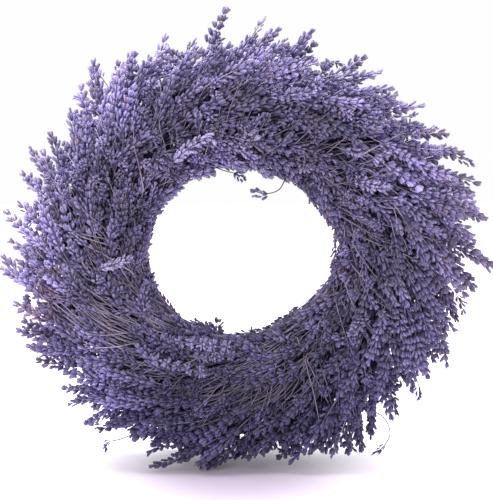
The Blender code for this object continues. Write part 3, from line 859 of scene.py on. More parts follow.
# Single sprigs that stand clear of the rest: the kind, the length of its head, its width,
# its shade (under 0 is darker, over 1 paler), and the pixels that it passes from its root
# to its tip, each with how many millimetres it lies in front of the wreath's middle.
SPRIGS = {
    "loose_sprigs_hole": [
        ("sprig", 0.019, 1.15, -0.7,
         [(296, 170, 4), (287, 177, 8), (279, 190, 12), (265, 194, 12), (247, 188, 12)]),
        ("sprig", 0.015, 1.2, -0.8, [(205, 160, 6), (219, 169, 8), (236, 174, 9), (249, 180, 9)]),
        ("sprig", 0.014, 1.0, -0.8, [(214, 161, 2), (232, 167, 4), (258, 170, 5), (277, 178, 5)]),
        ("sprig", 0.014, 1.3, -0.9, [(157, 205, 4), (166, 195, 6), (175, 189, 8), (187, 186, 8)]),
        ("sprig", 0.018, 1.3, -0.6,
         [(228, 338, 24), (214, 331, 30), (203, 326, 32), (190, 319, 32)]),
        ("sprig", 0.015, 1.6, -0.7,
         [(230, 340, 20), (222, 334, 24), (217, 327, 26), (214, 315, 26)]),
        ("sprig", 0.012, 0.7, -0.5, [(258, 340, 4), (254, 335, 7), (252, 331, 8), (250, 323, 8)]),
        ("sprig", 0.013, 0.7, -0.6,
         [(343, 248, 8), (338, 256, 10), (335, 262, 10), (330, 271, 10)]),
    ],
    "loose_sprigs_left": [
        ("sprig", 0.024, 0.9, 0.7,
         [(110, 372, 12), (82, 362, 14), (60, 356, 14), (40, 351, 14), (22, 343, 14)]),
        ("sprig", 0.018, 0.9, 0.6, [(84, 340, 10), (66, 335, 12), (50, 331, 12), (35, 329, 12)]),
        ("sprig", 0.016, 0.8, 0.5, [(104, 396, 14), (82, 401, 16), (64, 405, 16)]),
        ("sprig", 0.018, 0.8, 0.6, [(136, 416, 14), (112, 425, 16), (94, 424, 16), (80, 420, 16)]),
        ("sprig", 0.014, 0.7, -0.4,
         [(140, 432, 10), (118, 440, 12), (107, 443, 12), (105, 455, 12)]),
        ("sprig", 0.018, 0.9, 0.3, [(108, 118, 6), (98, 106, 8), (84, 99, 8), (69, 96, 8)]),
        ("sprig", 0.015, 0.8, 1.3, [(116, 98, 4), (106, 84, 5), (98, 72, 5), (95, 62, 5)]),
        ("sprig", 0.022, 0.9, 1.2, [(170, 84, 6), (180, 66, 8), (189, 50, 8), (197, 34, 8)]),
        ("sprig", 0.020, 0.9, 0.8, [(60, 240, 6), (46, 226, 8), (30, 214, 8), (16, 198, 8)]),
        ("sprig", 0.018, 0.9, 1.3, [(132, 84, 8), (128, 70, 9), (132, 58, 9), (136, 46, 9)]),
    ],
    "loose_sprigs_right": [
        ("sprig", 0.020, 0.9, 1.2, [(236, 62, 4), (246, 46, 5), (256, 30, 5), (268, 13, 5)]),
        ("sprig", 0.018, 0.9, 0.2, [(262, 62, 6), (272, 52, 7), (281, 44, 7), (291, 37, 7)]),
        ("sprig", 0.016, 0.9, 0.6, [(316, 66, 6), (328, 63, 7), (337, 63, 7), (346, 68, 7)]),
        ("sprig", 0.013, 0.9, 0.4, [(394, 116, 6), (406, 117, 7), (414, 115, 7), (421, 110, 7)]),
        ("sprig", 0.014, 0.8, -0.3, [(402, 134, 8), (416, 134, 9), (428, 131, 9), (441, 126, 9)]),
        ("sprig", 0.020, 0.9, 0.7, [(440, 150, 4), (454, 156, 5), (466, 160, 5), (478, 168, 5)]),
        ("sprig", 0.020, 0.8, -0.4,
         [(366, 408, 8), (384, 418, 9), (390, 434, 9), (382, 448, 9), (368, 457, 9)]),
        ("sprig", 0.016, 0.8, 0.3, [(402, 362, 8), (414, 374, 9), (419, 388, 9), (418, 404, 9)]),
        ("sprig", 0.018, 0.9, -0.5,
         [(318, 428, 12), (336, 440, 14), (350, 447, 14), (360, 455, 14)]),
    ],
    "clear_spikes": [
        ("full", 0.034, 0.9, 1.6, [(92, 278, 40), (104, 268, 52), (120, 262, 55), (137, 256, 56)]),
        ("full", 0.052, 1.0, 1.2,
         [(160, 182, 36), (172, 164, 48), (190, 147, 54), (209, 138, 55), (220, 150, 54)]),
        ("full", 0.044, 1.0, 1.0, [(118, 236, 38), (122, 214, 50), (120, 198, 54), (113, 186, 55)]),
        ("beaded", 0.056, 1.0, 1.25,
         [(238, 346, 40), (222, 347, 50), (200, 344, 54), (164, 340, 54)]),
        ("beaded", 0.054, 1.0, 1.15,
         [(212, 372, 40), (198, 371, 50), (176, 366, 54), (142, 356, 54)]),
        ("beaded", 0.040, 0.9, 1.10,
         [(244, 352, 36), (228, 356, 46), (210, 357, 50), (186, 357, 50)]),
        ("full", 0.040, 1.0, 1.3, [(240, 150, 30), (246, 140, 44), (252, 134, 50), (262, 144, 52)]),
        ("full", 0.036, 0.9, 1.3, [(362, 320, 40), (356, 328, 50), (350, 334, 54), (342, 336, 55)]),
        ("full", 0.038, 0.9, 1.1, [(352, 180, 40), (366, 184, 50), (380, 188, 54), (396, 186, 56)]),
    ],
}

# The finer spikes between the model's heads: whether they hug the massed stems or stand
# free of them, their psi in degrees, how many at most, their bare stem, the rise or
# share of the depth, the lift in degrees or climb, how far apart they lie, the kind,
# their width against the modelled spike, and how much they wander from the flow.
FILLS = [
    ("hug", 28, 102, 300, (0.0, 0.010), (0.12, 0.60), (0.0, 0.35), 0.0054, "full", 1.0, 1.4),
    ("free", 34, 98, 90, (0.0, 0.008), (0.003, 0.010), (16, 45), 0.0056, "full", 1.0, 2.0),
    ("free", -20, 50, 300, (0.0, 0.024), (0.002, 0.015), (0, 12), 0.0058, "full", 1.0, 1.4),
    ("free", -56, 0, 110, (0.0, 0.028), (0.002, 0.014), (1, 12), 0.0066, "full", 1.0, 1.4),
    ("free", -48, 34, 60, (0.010, 0.034), (0.004, 0.014), (2, 14), 0.0058, "loose", 1.0, 1.6),
    ("hug", 90, 206, 380, (0.0, 0.010), (0.42, 0.95), (0.0, 0.12), 0.0040, "thin", 1.0, 1.2),
    ("hug", 200, 290, 120, (0.0, 0.010), (0.15, 0.60), (0.0, 0.30), 0.0062, "full", 0.9, 1.4),
    ("hug", -84, -48, 80, (0.0, 0.010), (0.15, 0.60), (0.0, 0.40), 0.0066, "full", 0.95, 1.4),
    ("hug", 20, 112, 70, (0.0, 0.006), (0.55, 0.85), (0.0, 0.30), 0.0048, "loose", 1.0, 2.6),
    ("hug", -30, 120, 120, (0.0, 0.006), (0.60, 1.00), (0.0, 0.50), 0.0030, "sprig", 1.2, 3.2),
    ("free", -30, 112, 420, (0.0, 0.002), (0.008, 0.019), (35, 85), 0.0056, "rosette", 1.0, 4.0),
]
FILL_TRIES = 16
FILL_CHOICES = 5
MOST_POINTS = 60000
FAR_AWAY = 9.0

# How far a spike may lie from the middle of the depth, and how near the floor.
DEEPEST = 0.0560
LOWEST = 0.006
HUGGING_HEIGHT = 0.0065
FILL_ROOT_SHARE = 0.4

# What the spikes cover is counted in square cells: their size, how many make a row, how
# far the first lies left of the origin and under it, how often each is to be covered,
# and the least that a spike has to add.
COVER_CELL = 0.004
COVER_SIDE = 136
COVER_LEFT, COVER_BELOW = 0.27, 0.05
COVER_WANTED = 3
LEAST_GAIN = 3

# How far inside the wreath's outline spikes stay at the hole, and what share of the
# fringe's reach they may have.
HEAD_RIM_MARGIN = -0.0015
RIM_MARGINS = (-0.003, 0.005)
FRINGE_SHARE = (0.81, 0.985)

# How much further into the hole the wreath reaches than the even oval, every 15 degrees
# clockwise from the top, in millimetres, and how far from the wire that has its full size.
RIM_BULGE = [
    0, 0, 3, 4, 2, 0, 0, 2, 6, 8, 6, 2, 0, 0, 0, -2, 0, 0, 0, 0, 0, 0, -2, -1,
]  # fmt: skip
BULGE_FADE = 0.006

# Where the calyxes have gone brown: the middle of each patch, and how far it reaches.
RUSTY = [
    ((-0.188, -0.030, 0.152), 0.026),
    ((-0.176, -0.034, 0.176), 0.016),
    ((0.078, -0.050, 0.168), 0.012),
    ((0.012, -0.050, 0.082), 0.012),
    ((-0.140, -0.020, 0.272), 0.012),
]

# Where the wreath is painted lighter or darker than elsewhere, as painted light and shade: the
# middle, the reach, the gain.
PAINTED_LIGHT_PATCHES = [
    ((0.150, -0.030, 0.290), 0.085, 1.26),
    ((0.000, -0.020, 0.025), 0.095, 0.80),
    ((-0.120, -0.030, 0.075), 0.060, 1.24),
    ((0.105, -0.030, 0.085), 0.060, 1.20),
    ((-0.130, -0.040, 0.205), 0.060, 0.78),
    ((-0.080, -0.030, 0.140), 0.035, 1.25),
    ((-0.020, -0.040, 0.112), 0.030, 1.10),
    ((0.040, -0.040, 0.290), 0.045, 0.84),
]

# Where bare stems show more than spikes do: the pixel in the middle, how many pixels the
# zone reaches, and how many stems run there. Few spikes are kept in a zone. Elsewhere the
# stems have their psi in degrees, how many are tried, and the most of the heads' depth.
STEM_ZONES = [
    (130, 318, 30, 80),
    (164, 308, 24, 90),
    (222, 372, 30, 80),
    (276, 358, 34, 110),
    (325, 288, 18, 50),
    (95, 345, 26, 36),
]
ZONE_KEEPS = 0.2
STEMS_ELSEWHERE = [(-40, 100, 40, 0.30), (100, 206, 170, 0.80), (206, 290, 60, 0.85)]


def seen_at(points):
    """Where points show in the front view: pixels across and down."""
    across = HOLE_PIXEL[0] + (points[..., 0] + SHIFT[0] - HOLE_ACROSS) / PIXEL
    up = (points[..., 2] - CENTRE_HEIGHT) * math.cos(LOOK_DOWN)
    up = up + (points[..., 1] + SHIFT[1]) * math.sin(LOOK_DOWN)
    return across, HOLE_PIXEL[1] - up / PIXEL


def in_zone(points, zone):
    """True for points that show in one of the zones of bare stems."""
    across, down = seen_at(points)
    return (across - zone[0]) ** 2 + (down - zone[1]) ** 2 < zone[2] ** 2


def point_at(across, down, depth):
    """The point that shows at a pixel and lies so far in front of the wreath's middle."""
    sine, cosine = math.sin(LOOK_DOWN), math.cos(LOOK_DOWN)
    toward = depth
    for _ in range(3):
        pixel = PIXEL * (1 - toward / DISTANCE)
        up = (VIEW_PIXEL[1] - down) * pixel
        toward = (depth + up * sine) / cosine
    return np.array(
        (
            VIEW_TARGET[0] + (across - VIEW_PIXEL[0]) * pixel,
            up * sine - toward * cosine,
            VIEW_TARGET[2] + up * cosine + toward * sine,
        )
    )


def sprig_line(corners):
    """A smooth line through the places of a sprig, root first, 3 mm a step."""
    points = np.array([point_at(x, y, depth / 1000) for x, y, depth in corners])
    gone = np.concatenate([[0], np.cumsum(np.linalg.norm(points[1:] - points[:-1], axis=1))])
    slopes = np.gradient(points, gone, axis=0)
    places = np.linspace(0, gone[-1], max(4, round(gone[-1] / HEAD_STEP) + 1))
    after = np.clip(np.searchsorted(gone, places, side="right"), 1, len(gone) - 1)
    span = (gone[after] - gone[after - 1])[:, None]
    s = (places - gone[after - 1])[:, None] / span
    first, second = points[after - 1], points[after]
    line = (
        (2 * s**3 - 3 * s**2 + 1) * first
        + (s**3 - 2 * s**2 + s) * span * slopes[after - 1]
        + (3 * s**2 - 2 * s**3) * second
        + (s**3 - s**2) * span * slopes[after]
    )
    return line - SHIFT


def turn_off_circle(theta, rho, psi):
    """A point's distance from the wreath's middle, and how far the flow leaves the circle."""
    radius = float(bundle_radius(theta)) + rho * math.cos(psi)
    return radius, turn_at(radius)


def toward_hole(psi):
    """1 along the hole, and 0 from where the wreath has turned to its front or back."""
    return np.clip((np.abs(psi - math.pi) - 1.15) / -0.3, 0, 1)


def round_the_wreath(table, degrees):
    """A value of a table that gives one every 15 degrees, in millimetres."""
    return np.interp(degrees % 360, range(0, 361, 15), table + table[:1])


def rim_bulge(theta, psi):
    """How much further into the hole the wreath reaches there than the even oval."""
    return toward_hole(psi) * round_the_wreath(RIM_BULGE, np.degrees(theta)) / 1000


def bulged(theta, rho, psi):
    """A distance from the bundle line with that bulge, which fades out near the wire."""
    return rho + rim_bulge(theta, psi) * np.clip((rho - WIRE_LINE) / BULGE_FADE, 0, 1)


def pressed_to_rim(line, margin=0.0):
    """A line with what stands out into the hole pressed back to the hole's edge."""
    theta, out = off_bundle(line)
    psi = whole_turn(np.arctan2(-line[:, 1], out))
    rho = np.hypot(out, line[:, 1])
    least = section_reach(psi) - margin
    rho = rho - toward_hole(psi) * np.maximum(rho - least, 0)
    return unpressed_place(theta, bulged(theta, rho, psi), psi)


def hugging_line(theta, psi, turn, share, climb, length):
    """Points over the massed stems, at a share of the heads' depth there that may climb."""
    rho = float(core_reach(psi))
    radius, angle = turn_off_circle(theta, rho, psi)
    outward = 1.0 - min(1.0, max(0.0, (psi - HOLE_SIDE) / 0.9))
    angle = angle * outward + turn
    gone = np.linspace(0, length, round(length / HEAD_STEP) + 1)
    psis = np.clip(psi - math.sin(angle) * gone / rho, CORNERS[0] + 1e-3, CORNERS[-1] - 1e-3)
    thetas = theta + math.cos(angle) * gone / radius
    deep = np.minimum(section_reach(psis) - core_reach(psis), CORE_DEPTH)
    share = share + climb * (gone / length) ** 1.5
    line = place_of(thetas, core_reach(psis) + deep * share, psis)
    line[:, 2] = np.maximum(line[:, 2], HUGGING_HEIGHT)
    return line


def planted_line(rng, style, psi, turn, stem, rise, lift, length):
    """A line for a spike, with its foot anywhere round the wreath at psi."""
    theta = rng.uniform(0, 2 * math.pi)
    if style == "free":
        line = head_line(theta, psi, turn, rise, math.radians(lift), stem + length)
    else:
        line = hugging_line(theta, psi, turn, rise, lift, stem + length)
    rho, start = float(core_reach(psi)), start_of(theta, psi)
    root = spray_place(start, rho - FILL_ROOT_SHARE * rho, psi)
    return start, np.concatenate([root[None], line])


def fringe_limit(point):
    """How far the wreath reaches from the hole's middle in a point's direction."""
    theta = math.degrees(math.atan2(point[0], point[2] - CENTRE_HEIGHT))
    return round_the_wreath(FRINGE_REACH, theta) / 1000


def in_front(points, side):
    """True for points that the massed stems don't hide from the front, or from the back."""
    seen = np.linspace(2, 178, 45) if side > 0 else np.linspace(-60, -182, 45)
    psi = whole_turn(np.radians(seen))
    out = core_reach(psi) * np.cos(psi)
    depth = core_reach(psi) * np.abs(np.sin(psi))
    order = np.argsort(out)
    face = np.interp(off_bundle(points)[1], out[order], depth[order], left=-1.0, right=-1.0)
    return -side * points[:, 1] > face - 0.001


def cells_under(line, side):
    """The cells of the view from one side that a spike along a line hides."""
    line = line[in_front(line, side)]
    columns = np.round((line[:, 0] + COVER_LEFT) / COVER_CELL).astype(int)
    rows = np.round((line[:, 2] + COVER_BELOW) / COVER_CELL).astype(int)
    near = np.arange(-1, 2)
    cells = (rows[:, None, None] + near[:, None]) * COVER_SIDE + columns[:, None, None] + near
    return np.unique(cells)


def within_model(line, share=0.9):
    """True if a spike along a line stays in the fringe, off the floor and in the depth."""
    depth = line[:, 1] + SHIFT[1]
    reach = math.hypot(line[-1][0], line[-1][2] - CENTRE_HEIGHT)
    return (
        reach < fringe_limit(line[-1]) * share
        and line[:, 2].min() > LOWEST
        and depth.min() > -DEEPEST
        and depth.max() < DEEPEST
    )


def finer_spikes(heads, starts):
    """Lines for the spikes between the model's heads: each lies where least is covered."""
    rng = random.Random(FILL_SEED)
    taken = np.full((MOST_POINTS, 3), FAR_AWAY)
    cover = {1: np.zeros(COVER_SIDE**2, int), -1: np.zeros(COVER_SIDE**2, int)}
    count = 0
    for head in heads:
        own = head["points"]
        taken[count : count + len(own)] = own
        count += len(own)
        for side in cover:
            cover[side][cells_under(own, side)] += 1
    spikes = []
    for style, low, high, number, stems, rises, lifts, spacing, kind, width, wander in FILLS:
        length = SPIKE_LENGTHS[kind]
        side = -1 if low > 195 or high < -40 else 1
        for _ in range(number):
            choices = []
            for _ in range(FILL_TRIES):
                psi = math.radians(rng.uniform(low, high))
                psi = min(max(psi, CORNERS[0] + 1e-3), CORNERS[-1] - 1e-3)
                stem, rise = rng.uniform(*stems), rng.uniform(*rises)
                long = length * rng.uniform(0.80, 1.06)
                turn = rng.gauss(0, 1) * TURN_SPREAD * wander
                lift = rng.uniform(*lifts)
                start, line = planted_line(rng, style, psi, turn, stem, rise, lift, long)
                line = pressed_to_rim(line, rng.uniform(*RIM_MARGINS))
                own = line[-round(long / HEAD_STEP) :]
                if not within_model(own, rng.uniform(*FRINGE_SHARE)):
                    continue
                middle = own[len(own) // 2]
                if rng.random() > ZONE_KEEPS and any(in_zone(middle, z) for z in STEM_ZONES):
                    continue
                near = np.abs(taken[:count] - middle).max(axis=1) < long / 2 + spacing
                apart = taken[:count][near][:, None] - own[::2]
                if ((apart * apart).sum(-1) < spacing * spacing).any():
                    continue
                cells = cells_under(own, side)
                gain = np.maximum(COVER_WANTED - cover[side][cells], 0).sum()
                choices.append((gain, len(choices), psi, start, line, own, cells, long))
                if len(choices) == FILL_CHOICES:
                    break
            if not choices:
                continue
            gain, _, psi, start, line, own, cells, long = max(choices, key=lambda c: c[:2])
            if gain < LEAST_GAIN and kind not in ("sprig", "rosette"):
                continue
            taken[count : count + len(own)] = own
            count += len(own)
            cover[side][cells] += 1
            cover[-side][cells_under(own, -side)] += 1
            spikes.append((owner_of(start, psi, starts), line, long, kind, width))
    return spikes


def bare_stems(starts):
    """The lines of the stems that show between the spikes, most of them in their zones."""
    rng = random.Random(STEM_SEED)
    stems = []

    def run(theta, psi, least, most, shades):
        turn = rng.gauss(0, 1) * TURN_SPREAD * 0.4
        length = rng.uniform(0.045, 0.100)
        share = rng.uniform(least, most)
        line = hugging_line(theta, psi, turn, share, rng.uniform(-0.1, 0.2), length)
        line = pressed_to_rim(line, rng.uniform(*RIM_MARGINS))
        if not within_model(line):
            return False
        owner = owner_of(start_of(theta, psi), psi, starts)
        stems.append((owner, line, rng.uniform(*shades)))
        return True

    for zone in STEM_ZONES:
        wanted = zone[3]
        for _ in range(60 * wanted):
            theta, psi = rng.uniform(0, 2 * math.pi), math.radians(rng.uniform(15, 190))
            if in_zone(place_of(theta, core_reach(psi), psi), zone):
                back, aside = rng.uniform(0.05, 0.35), rng.uniform(0.0, 0.3)
                wanted -= run(theta - back, psi + aside, 0.4, 0.85, (0.0, 0.7))
            if wanted <= 0:
                break
    for low, high, count, most in STEMS_ELSEWHERE:
        for _ in range(count):
            theta, psi = rng.uniform(0, 2 * math.pi), math.radians(rng.uniform(low, high))
            run(theta, psi, 0.05, most, (0.5, 1.5))
    return stems


def linear(red, green, blue):
    """A colour as a screen shows it, from 0 to 255, made linear."""
    return tuple(
        c / 12.92 if c <= 0.04045 else ((c + 0.055) / 1.055) ** 2.4
        for c in (red / 255, green / 255, blue / 255)
    )


def colour_prop(name, description, *shown):
    """A colour that a user may change, given as a screen shows it."""
    return bpy.props.FloatVectorProperty(
        name=name,
        description=description,
        subtype="COLOR",
        size=3,
        min=0,
        max=1,
        default=linear(*shown),
    )


class WreathColours(bpy.types.PropertyGroup):
    """The colours of the dried lavender and of the floor."""

    light: colour_prop("Light calyx", "The palest of the calyxes", 154, 143, 190)
    middle: colour_prop("Calyx", "Most of the calyxes", 82, 73, 134)
    deep: colour_prop("Deep calyx", "The bluest and darkest of the calyxes", 54, 48, 102)
    # The foot colour is partly the calyx's own and partly painted shade between the calyxes.
    foot: colour_prop("Calyx foot and painted shade", "The foot of a calyx, where it leaves the stem", 54, 47, 92)
    rust: colour_prop("Withered calyx", "The few calyxes that have turned brown", 112, 82, 88)
    stem: colour_prop("Stem", "The dry stems", 196, 184, 206)
    old_stem: colour_prop("Old stem", "The brownest of the stems", 118, 103, 126)
    pale: colour_prop("Pale spike", "The few spikes that have faded most", 206, 198, 242)
    faded: colour_prop("Faded tip", "What the tips of the fringe fade to", 128, 116, 136)
    # The pale ribs along a calyx are partly real ribs and partly painted highlight.
    edge: colour_prop("Calyx rib and painted highlight", "The pale ribs along a calyx", 198, 188, 226)
    # Painted shade: the stems deep in a bunch are coloured almost black.
    mass: colour_prop("Massed stems in painted shade", "The stems deep in a bunch", 24, 20, 48)
    floor: colour_prop("Floor", "The pale floor and backdrop", 236, 220, 244)


class WreathSizes(bpy.types.PropertyGroup):
    """The widths of the spikes and stems, and the camera's angle."""

    spike_width: bpy.props.FloatProperty(
        name="Spike width",
        description="The width of every spike against the modelled one",
        default=1.0,
        min=0.5,
        max=1.5,
        subtype="FACTOR",
    )
    stem_radius: bpy.props.FloatProperty(
        name="Stem radius",
        description="The radius of a stem at its foot",
        default=SPIKE_STEM_RADIUS,
        min=0.0002,
        max=0.002,
        unit="LENGTH",
    )
    camera_elevation: bpy.props.FloatProperty(
        name="Camera elevation",
        description="How far the camera looks down",
        default=LOOK_DOWN,
        min=0,
        max=1.5,
        unit="ROTATION",
    )


def shader_nodes(name):
    """A new material, its node tree and its shader."""
    material = bpy.data.materials.new(name)
    material.use_nodes = True
    tree = material.node_tree
    return material, tree, tree.nodes["Principled BSDF"]


def feed(tree, socket, value):
    """Gives an input what another node puts out, or else a plain number or colour."""
    if isinstance(value, bpy.types.NodeSocket):
        tree.links.new(value, socket)
    elif socket.type == "RGBA":
        socket.default_value = (*value, 1.0)
    else:
        socket.default_value = value


def number_from(tree, operation, *values):
    """The number that a math node makes of others."""
    node = tree.nodes.new("ShaderNodeMath")
    node.operation = operation
    for socket, value in zip(node.inputs, values):
        feed(tree, socket, value)
    return node.outputs[0]


def times(tree, first, second):
    return number_from(tree, "MULTIPLY", first, second)


def vector_from(tree, operation, *values):
    """What a vector math node makes of others: a number if it is a length."""
    node = tree.nodes.new("ShaderNodeVectorMath")
    node.operation = operation
    for socket, value in zip(node.inputs, values):
        feed(tree, socket, value)
    return node.outputs["Value" if operation in ("LENGTH", "DISTANCE") else "Vector"]


def scaled(tree, colour, factor):
    node = tree.nodes.new("ShaderNodeVectorMath")
    node.operation = "SCALE"
    tree.links.new(colour, node.inputs[0])
    tree.links.new(factor, node.inputs["Scale"])
    return node.outputs[0]


def mixed(tree, factor, first, second):
    """A mix of two colours; each may be a socket or a colour, and factor a socket or number."""
    mix = tree.nodes.new("ShaderNodeMix")
    mix.data_type = "RGBA"
    for socket, value in ((mix.inputs[0], factor), (mix.inputs[6], first), (mix.inputs[7], second)):
        feed(tree, socket, value)
    return mix.outputs[2]


def ranged(tree, value, low, high, to_low=0.0, to_high=1.0, steps="LINEAR"):
    """A number carried from one range to another, and held at the ends of it."""
    node = tree.nodes.new("ShaderNodeMapRange")
    node.interpolation_type = steps
    tree.links.new(value, node.inputs["Value"])
    ends = {"From Min": low, "From Max": high, "To Min": to_low, "To Max": to_high}
    for name, number in ends.items():
        node.inputs[name].default_value = number
    return node.outputs["Result"]


def object_place(tree):
    return tree.nodes.new("ShaderNodeTexCoord").outputs["Object"]


def noise_of(tree, scale, detail=2.0):
    """Soft noise all through a piece, from 0 to 1."""
    node = tree.nodes.new("ShaderNodeTexNoise")
    node.inputs["Detail"].default_value = detail
    tree.links.new(object_place(tree), node.inputs["Vector"])
    feed(tree, node.inputs["Scale"], scale)
    return node.outputs["Fac"]


def attribute(tree, name):
    node = tree.nodes.new("ShaderNodeAttribute")
    node.attribute_name = name
    return node


def growth_of(tree):
    """Along, shade and spike: how far along its part a point is, and two random numbers."""
    parts = tree.nodes.new("ShaderNodeSeparateXYZ")
    tree.links.new(attribute(tree, "growth").outputs["Vector"], parts.inputs[0])
    return parts.outputs[0], parts.outputs[1], parts.outputs[2]


def new_group(name, inputs, outputs):
    """A node group whose sockets are all numbers, and the node that takes its results."""
    tree = bpy.data.node_groups.new(name, "ShaderNodeTree")
    for label, default in inputs.items():
        socket = tree.interface.new_socket(label, in_out="INPUT", socket_type="NodeSocketFloat")
        socket.default_value = default
    for label in outputs:
        tree.interface.new_socket(label, in_out="OUTPUT", socket_type="NodeSocketFloat")
    return tree, tree.nodes.new("NodeGroupOutput")


def grain_group():
    """A fine dry grain: a value round 1 for colours and a height for a bump."""
    name = "dry_grain"
    if name in bpy.data.node_groups:
        return bpy.data.node_groups[name]
    tree, outside = new_group(name, {"Scale": 900.0, "Strength": 0.3}, ("Value", "Height"))
    inside = tree.nodes.new("NodeGroupInput")
    noise = noise_of(tree, inside.outputs["Scale"])
    centred = number_from(tree, "SUBTRACT", noise, 0.5)
    value = number_from(tree, "MULTIPLY_ADD", centred, inside.outputs["Strength"], 1.0)
    tree.links.new(value, outside.inputs["Value"])
    tree.links.new(noise, outside.inputs["Height"])
    return tree


def fade_and_painted_light_group():
    """Painted light and shade at each place of the wreath, and how the flowers have faded.

    Value is painted light and shade, with a random tone: lighter in the fringe, along the
    hole, up and to the left, and lighter or darker in the painted patches. Fringe and Grey
    are how much they have faded, and Low is painted shade near the floor.
    """
    name = "bleached_by_light"
    if name in bpy.data.node_groups:
        return bpy.data.node_groups[name]
    tree, outside = new_group(name, {}, ("Value", "Fringe", "Grey", "Low"))
    place = object_place(tree)
    flat = vector_from(tree, "MULTIPLY_ADD", place, (1, 0, 1), (-HOLE_ACROSS, 0, -CENTRE_HEIGHT))
    radius = vector_from(tree, "LENGTH", flat)
    parts = tree.nodes.new("ShaderNodeSeparateXYZ")
    tree.links.new(place, parts.inputs[0])
    across, height = parts.outputs[0], parts.outputs[2]
    # Painted light and shade: lighter in the fringe, along the hole, up and to the left.
    value = ranged(tree, radius, 0.125, 0.205, 0.74, 1.58)
    value = times(tree, value, ranged(tree, radius, 0.125, 0.090, 1.0, 1.36))
    up = number_from(tree, "SQRT", ranged(tree, height, 0.02, 0.34))
    value = times(tree, value, ranged(tree, up, 0.0, 1.0, 0.66, 1.0))
    value = times(tree, value, ranged(tree, across, 0.18, -0.18, 0.84, 1.12))
    # Patches painted lighter or darker, as light and shade.
    for middle, reach, gain in PAINTED_LIGHT_PATCHES:
        near = vector_from(tree, "DISTANCE", place, middle)
        value = times(tree, value, ranged(tree, near, reach, reach * 0.3, 1.0, gain))
    tone = ranged(tree, noise_of(tree, 34.0, 1.0), 0.36, 0.64, 0.80, 1.20)
    grey = ranged(tree, noise_of(tree, 52.0), 0.48, 0.66)
    results = {
        "Value": times(tree, value, tone),
        "Fringe": ranged(tree, radius, 0.175, 0.220),
        "Grey": times(tree, grey, ranged(tree, height, 0.06, 0.20, 0.2, 1.0)),
        # Low: painted shade near the floor.
        "Low": ranged(tree, height, 0.18, 0.05),
    }
    for label, result in results.items():
        tree.links.new(result, outside.inputs[label])
    return tree


def fade_and_painted_light_node(tree):
    """The node that puts out the painted light and shade, and the fading."""
    node = tree.nodes.new("ShaderNodeGroup")
    node.node_tree = fade_and_painted_light_group()
    return node


def bumped(tree, shader, height, strength, distance, over=None):
    """Gives a shader a bump, over another where that is named, and puts out its normal."""
    bump = tree.nodes.new("ShaderNodeBump")
    bump.inputs["Strength"].default_value = strength
    bump.inputs["Distance"].default_value = distance
    tree.links.new(height, bump.inputs["Height"])
    if over is not None:
        tree.links.new(over, bump.inputs["Normal"])
    tree.links.new(bump.outputs["Normal"], shader.inputs["Normal"])
    return bump.outputs["Normal"]


def with_grain(tree, shader, colour, scale, strength, distance):
    """Gives a shader a colour with the dry grain in it, and the grain's bump."""
    grain = tree.nodes.new("ShaderNodeGroup")
    grain.node_tree = grain_group()
    grain.inputs["Scale"].default_value = scale
    grain.inputs["Strength"].default_value = strength
    tree.links.new(scaled(tree, colour, grain.outputs["Value"]), shader.inputs["Base Color"])
    return bumped(tree, shader, grain.outputs["Height"], GRAIN_BUMP, distance)


def bloom_material(colours):
    """Dried calyxes: violet, pale ribs partly painted highlight, and bluer and greyer ones."""
    material, tree, shader = shader_nodes("dried_calyx")
    along, shade, spike = growth_of(tree)
    light = fade_and_painted_light_node(tree)
    colour = mixed(tree, ranged(tree, shade, 0.15, 1.0), colours.middle, colours.light)
    # A spike's own number makes it bluer up to 1, paler past 1 and darker under 0.
    blue = ranged(tree, spike, 0.10, 1.0, 0.0, 0.80)
    blue = times(tree, blue, ranged(tree, spike, 1.02, 1.01))
    colour = mixed(tree, blue, colour, colours.deep)
    pale = ranged(tree, spike, 1.02, 2.0, 0.15, 1.0)
    pale = times(tree, pale, ranged(tree, spike, 1.01, 1.02))
    colour = mixed(tree, pale, colour, colours.pale)
    colour = mixed(tree, ranged(tree, spike, 0.0, -1.0, 0.0, 0.9), colour, colours.foot)
    for middle, reach in RUSTY:
        near = vector_from(tree, "DISTANCE", object_place(tree), middle)
        patch = ranged(tree, near, reach, reach * 0.5)
        patch = times(tree, patch, ranged(tree, shade, 0.45, 0.55))
        colour = mixed(tree, patch, colour, colours.rust)
    colour = mixed(tree, ranged(tree, shade, 0.030, 0.020), colour, colours.rust)
    # Pale ribs along each calyx: partly real ribs, partly painted highlight.
    rib = attribute(tree, "rib").outputs["Fac"]
    ribbed = times(tree, rib, ranged(tree, along, 0.15, 0.75))
    colour = mixed(tree, times(tree, ribbed, 0.50), colour, colours.edge)
    # Each calyx is darker at its foot: partly its own colour, partly painted shade.
    colour = mixed(tree, ranged(tree, along, 0.24, 0.0), colour, colours.foot)
    colour = mixed(tree, times(tree, light.outputs["Fringe"], 0.50), colour, colours.faded)
    colour = mixed(tree, times(tree, light.outputs["Grey"], 0.42), colour, colours.faded)
    # Painted shade: bluer and darker near the floor, then painted light and shade by place.
    colour = mixed(tree, times(tree, light.outputs["Low"], 0.55), colour, colours.deep)
    colour = scaled(tree, colour, light.outputs["Value"])
    own_light = number_from(
        tree,
        "ADD",
        ranged(tree, spike, 0.0, 1.0, 1.04, 0.70),
        ranged(tree, spike, 1.01, 1.02, 0.0, 0.30),
    )
    colour = scaled(tree, colour, own_light)
    grain = with_grain(tree, shader, colour, 1100.0, 0.6, 0.0003)
    fine = number_from(tree, "PINGPONG", rib, 0.25)
    bumped(tree, shader, fine, 0.8, 0.0006, over=grain)
    shader.inputs["Roughness"].default_value = 0.62
    shader.inputs["Specular IOR Level"].default_value = 0.25
    shader.inputs["Sheen Weight"].default_value = 0.12
    return material


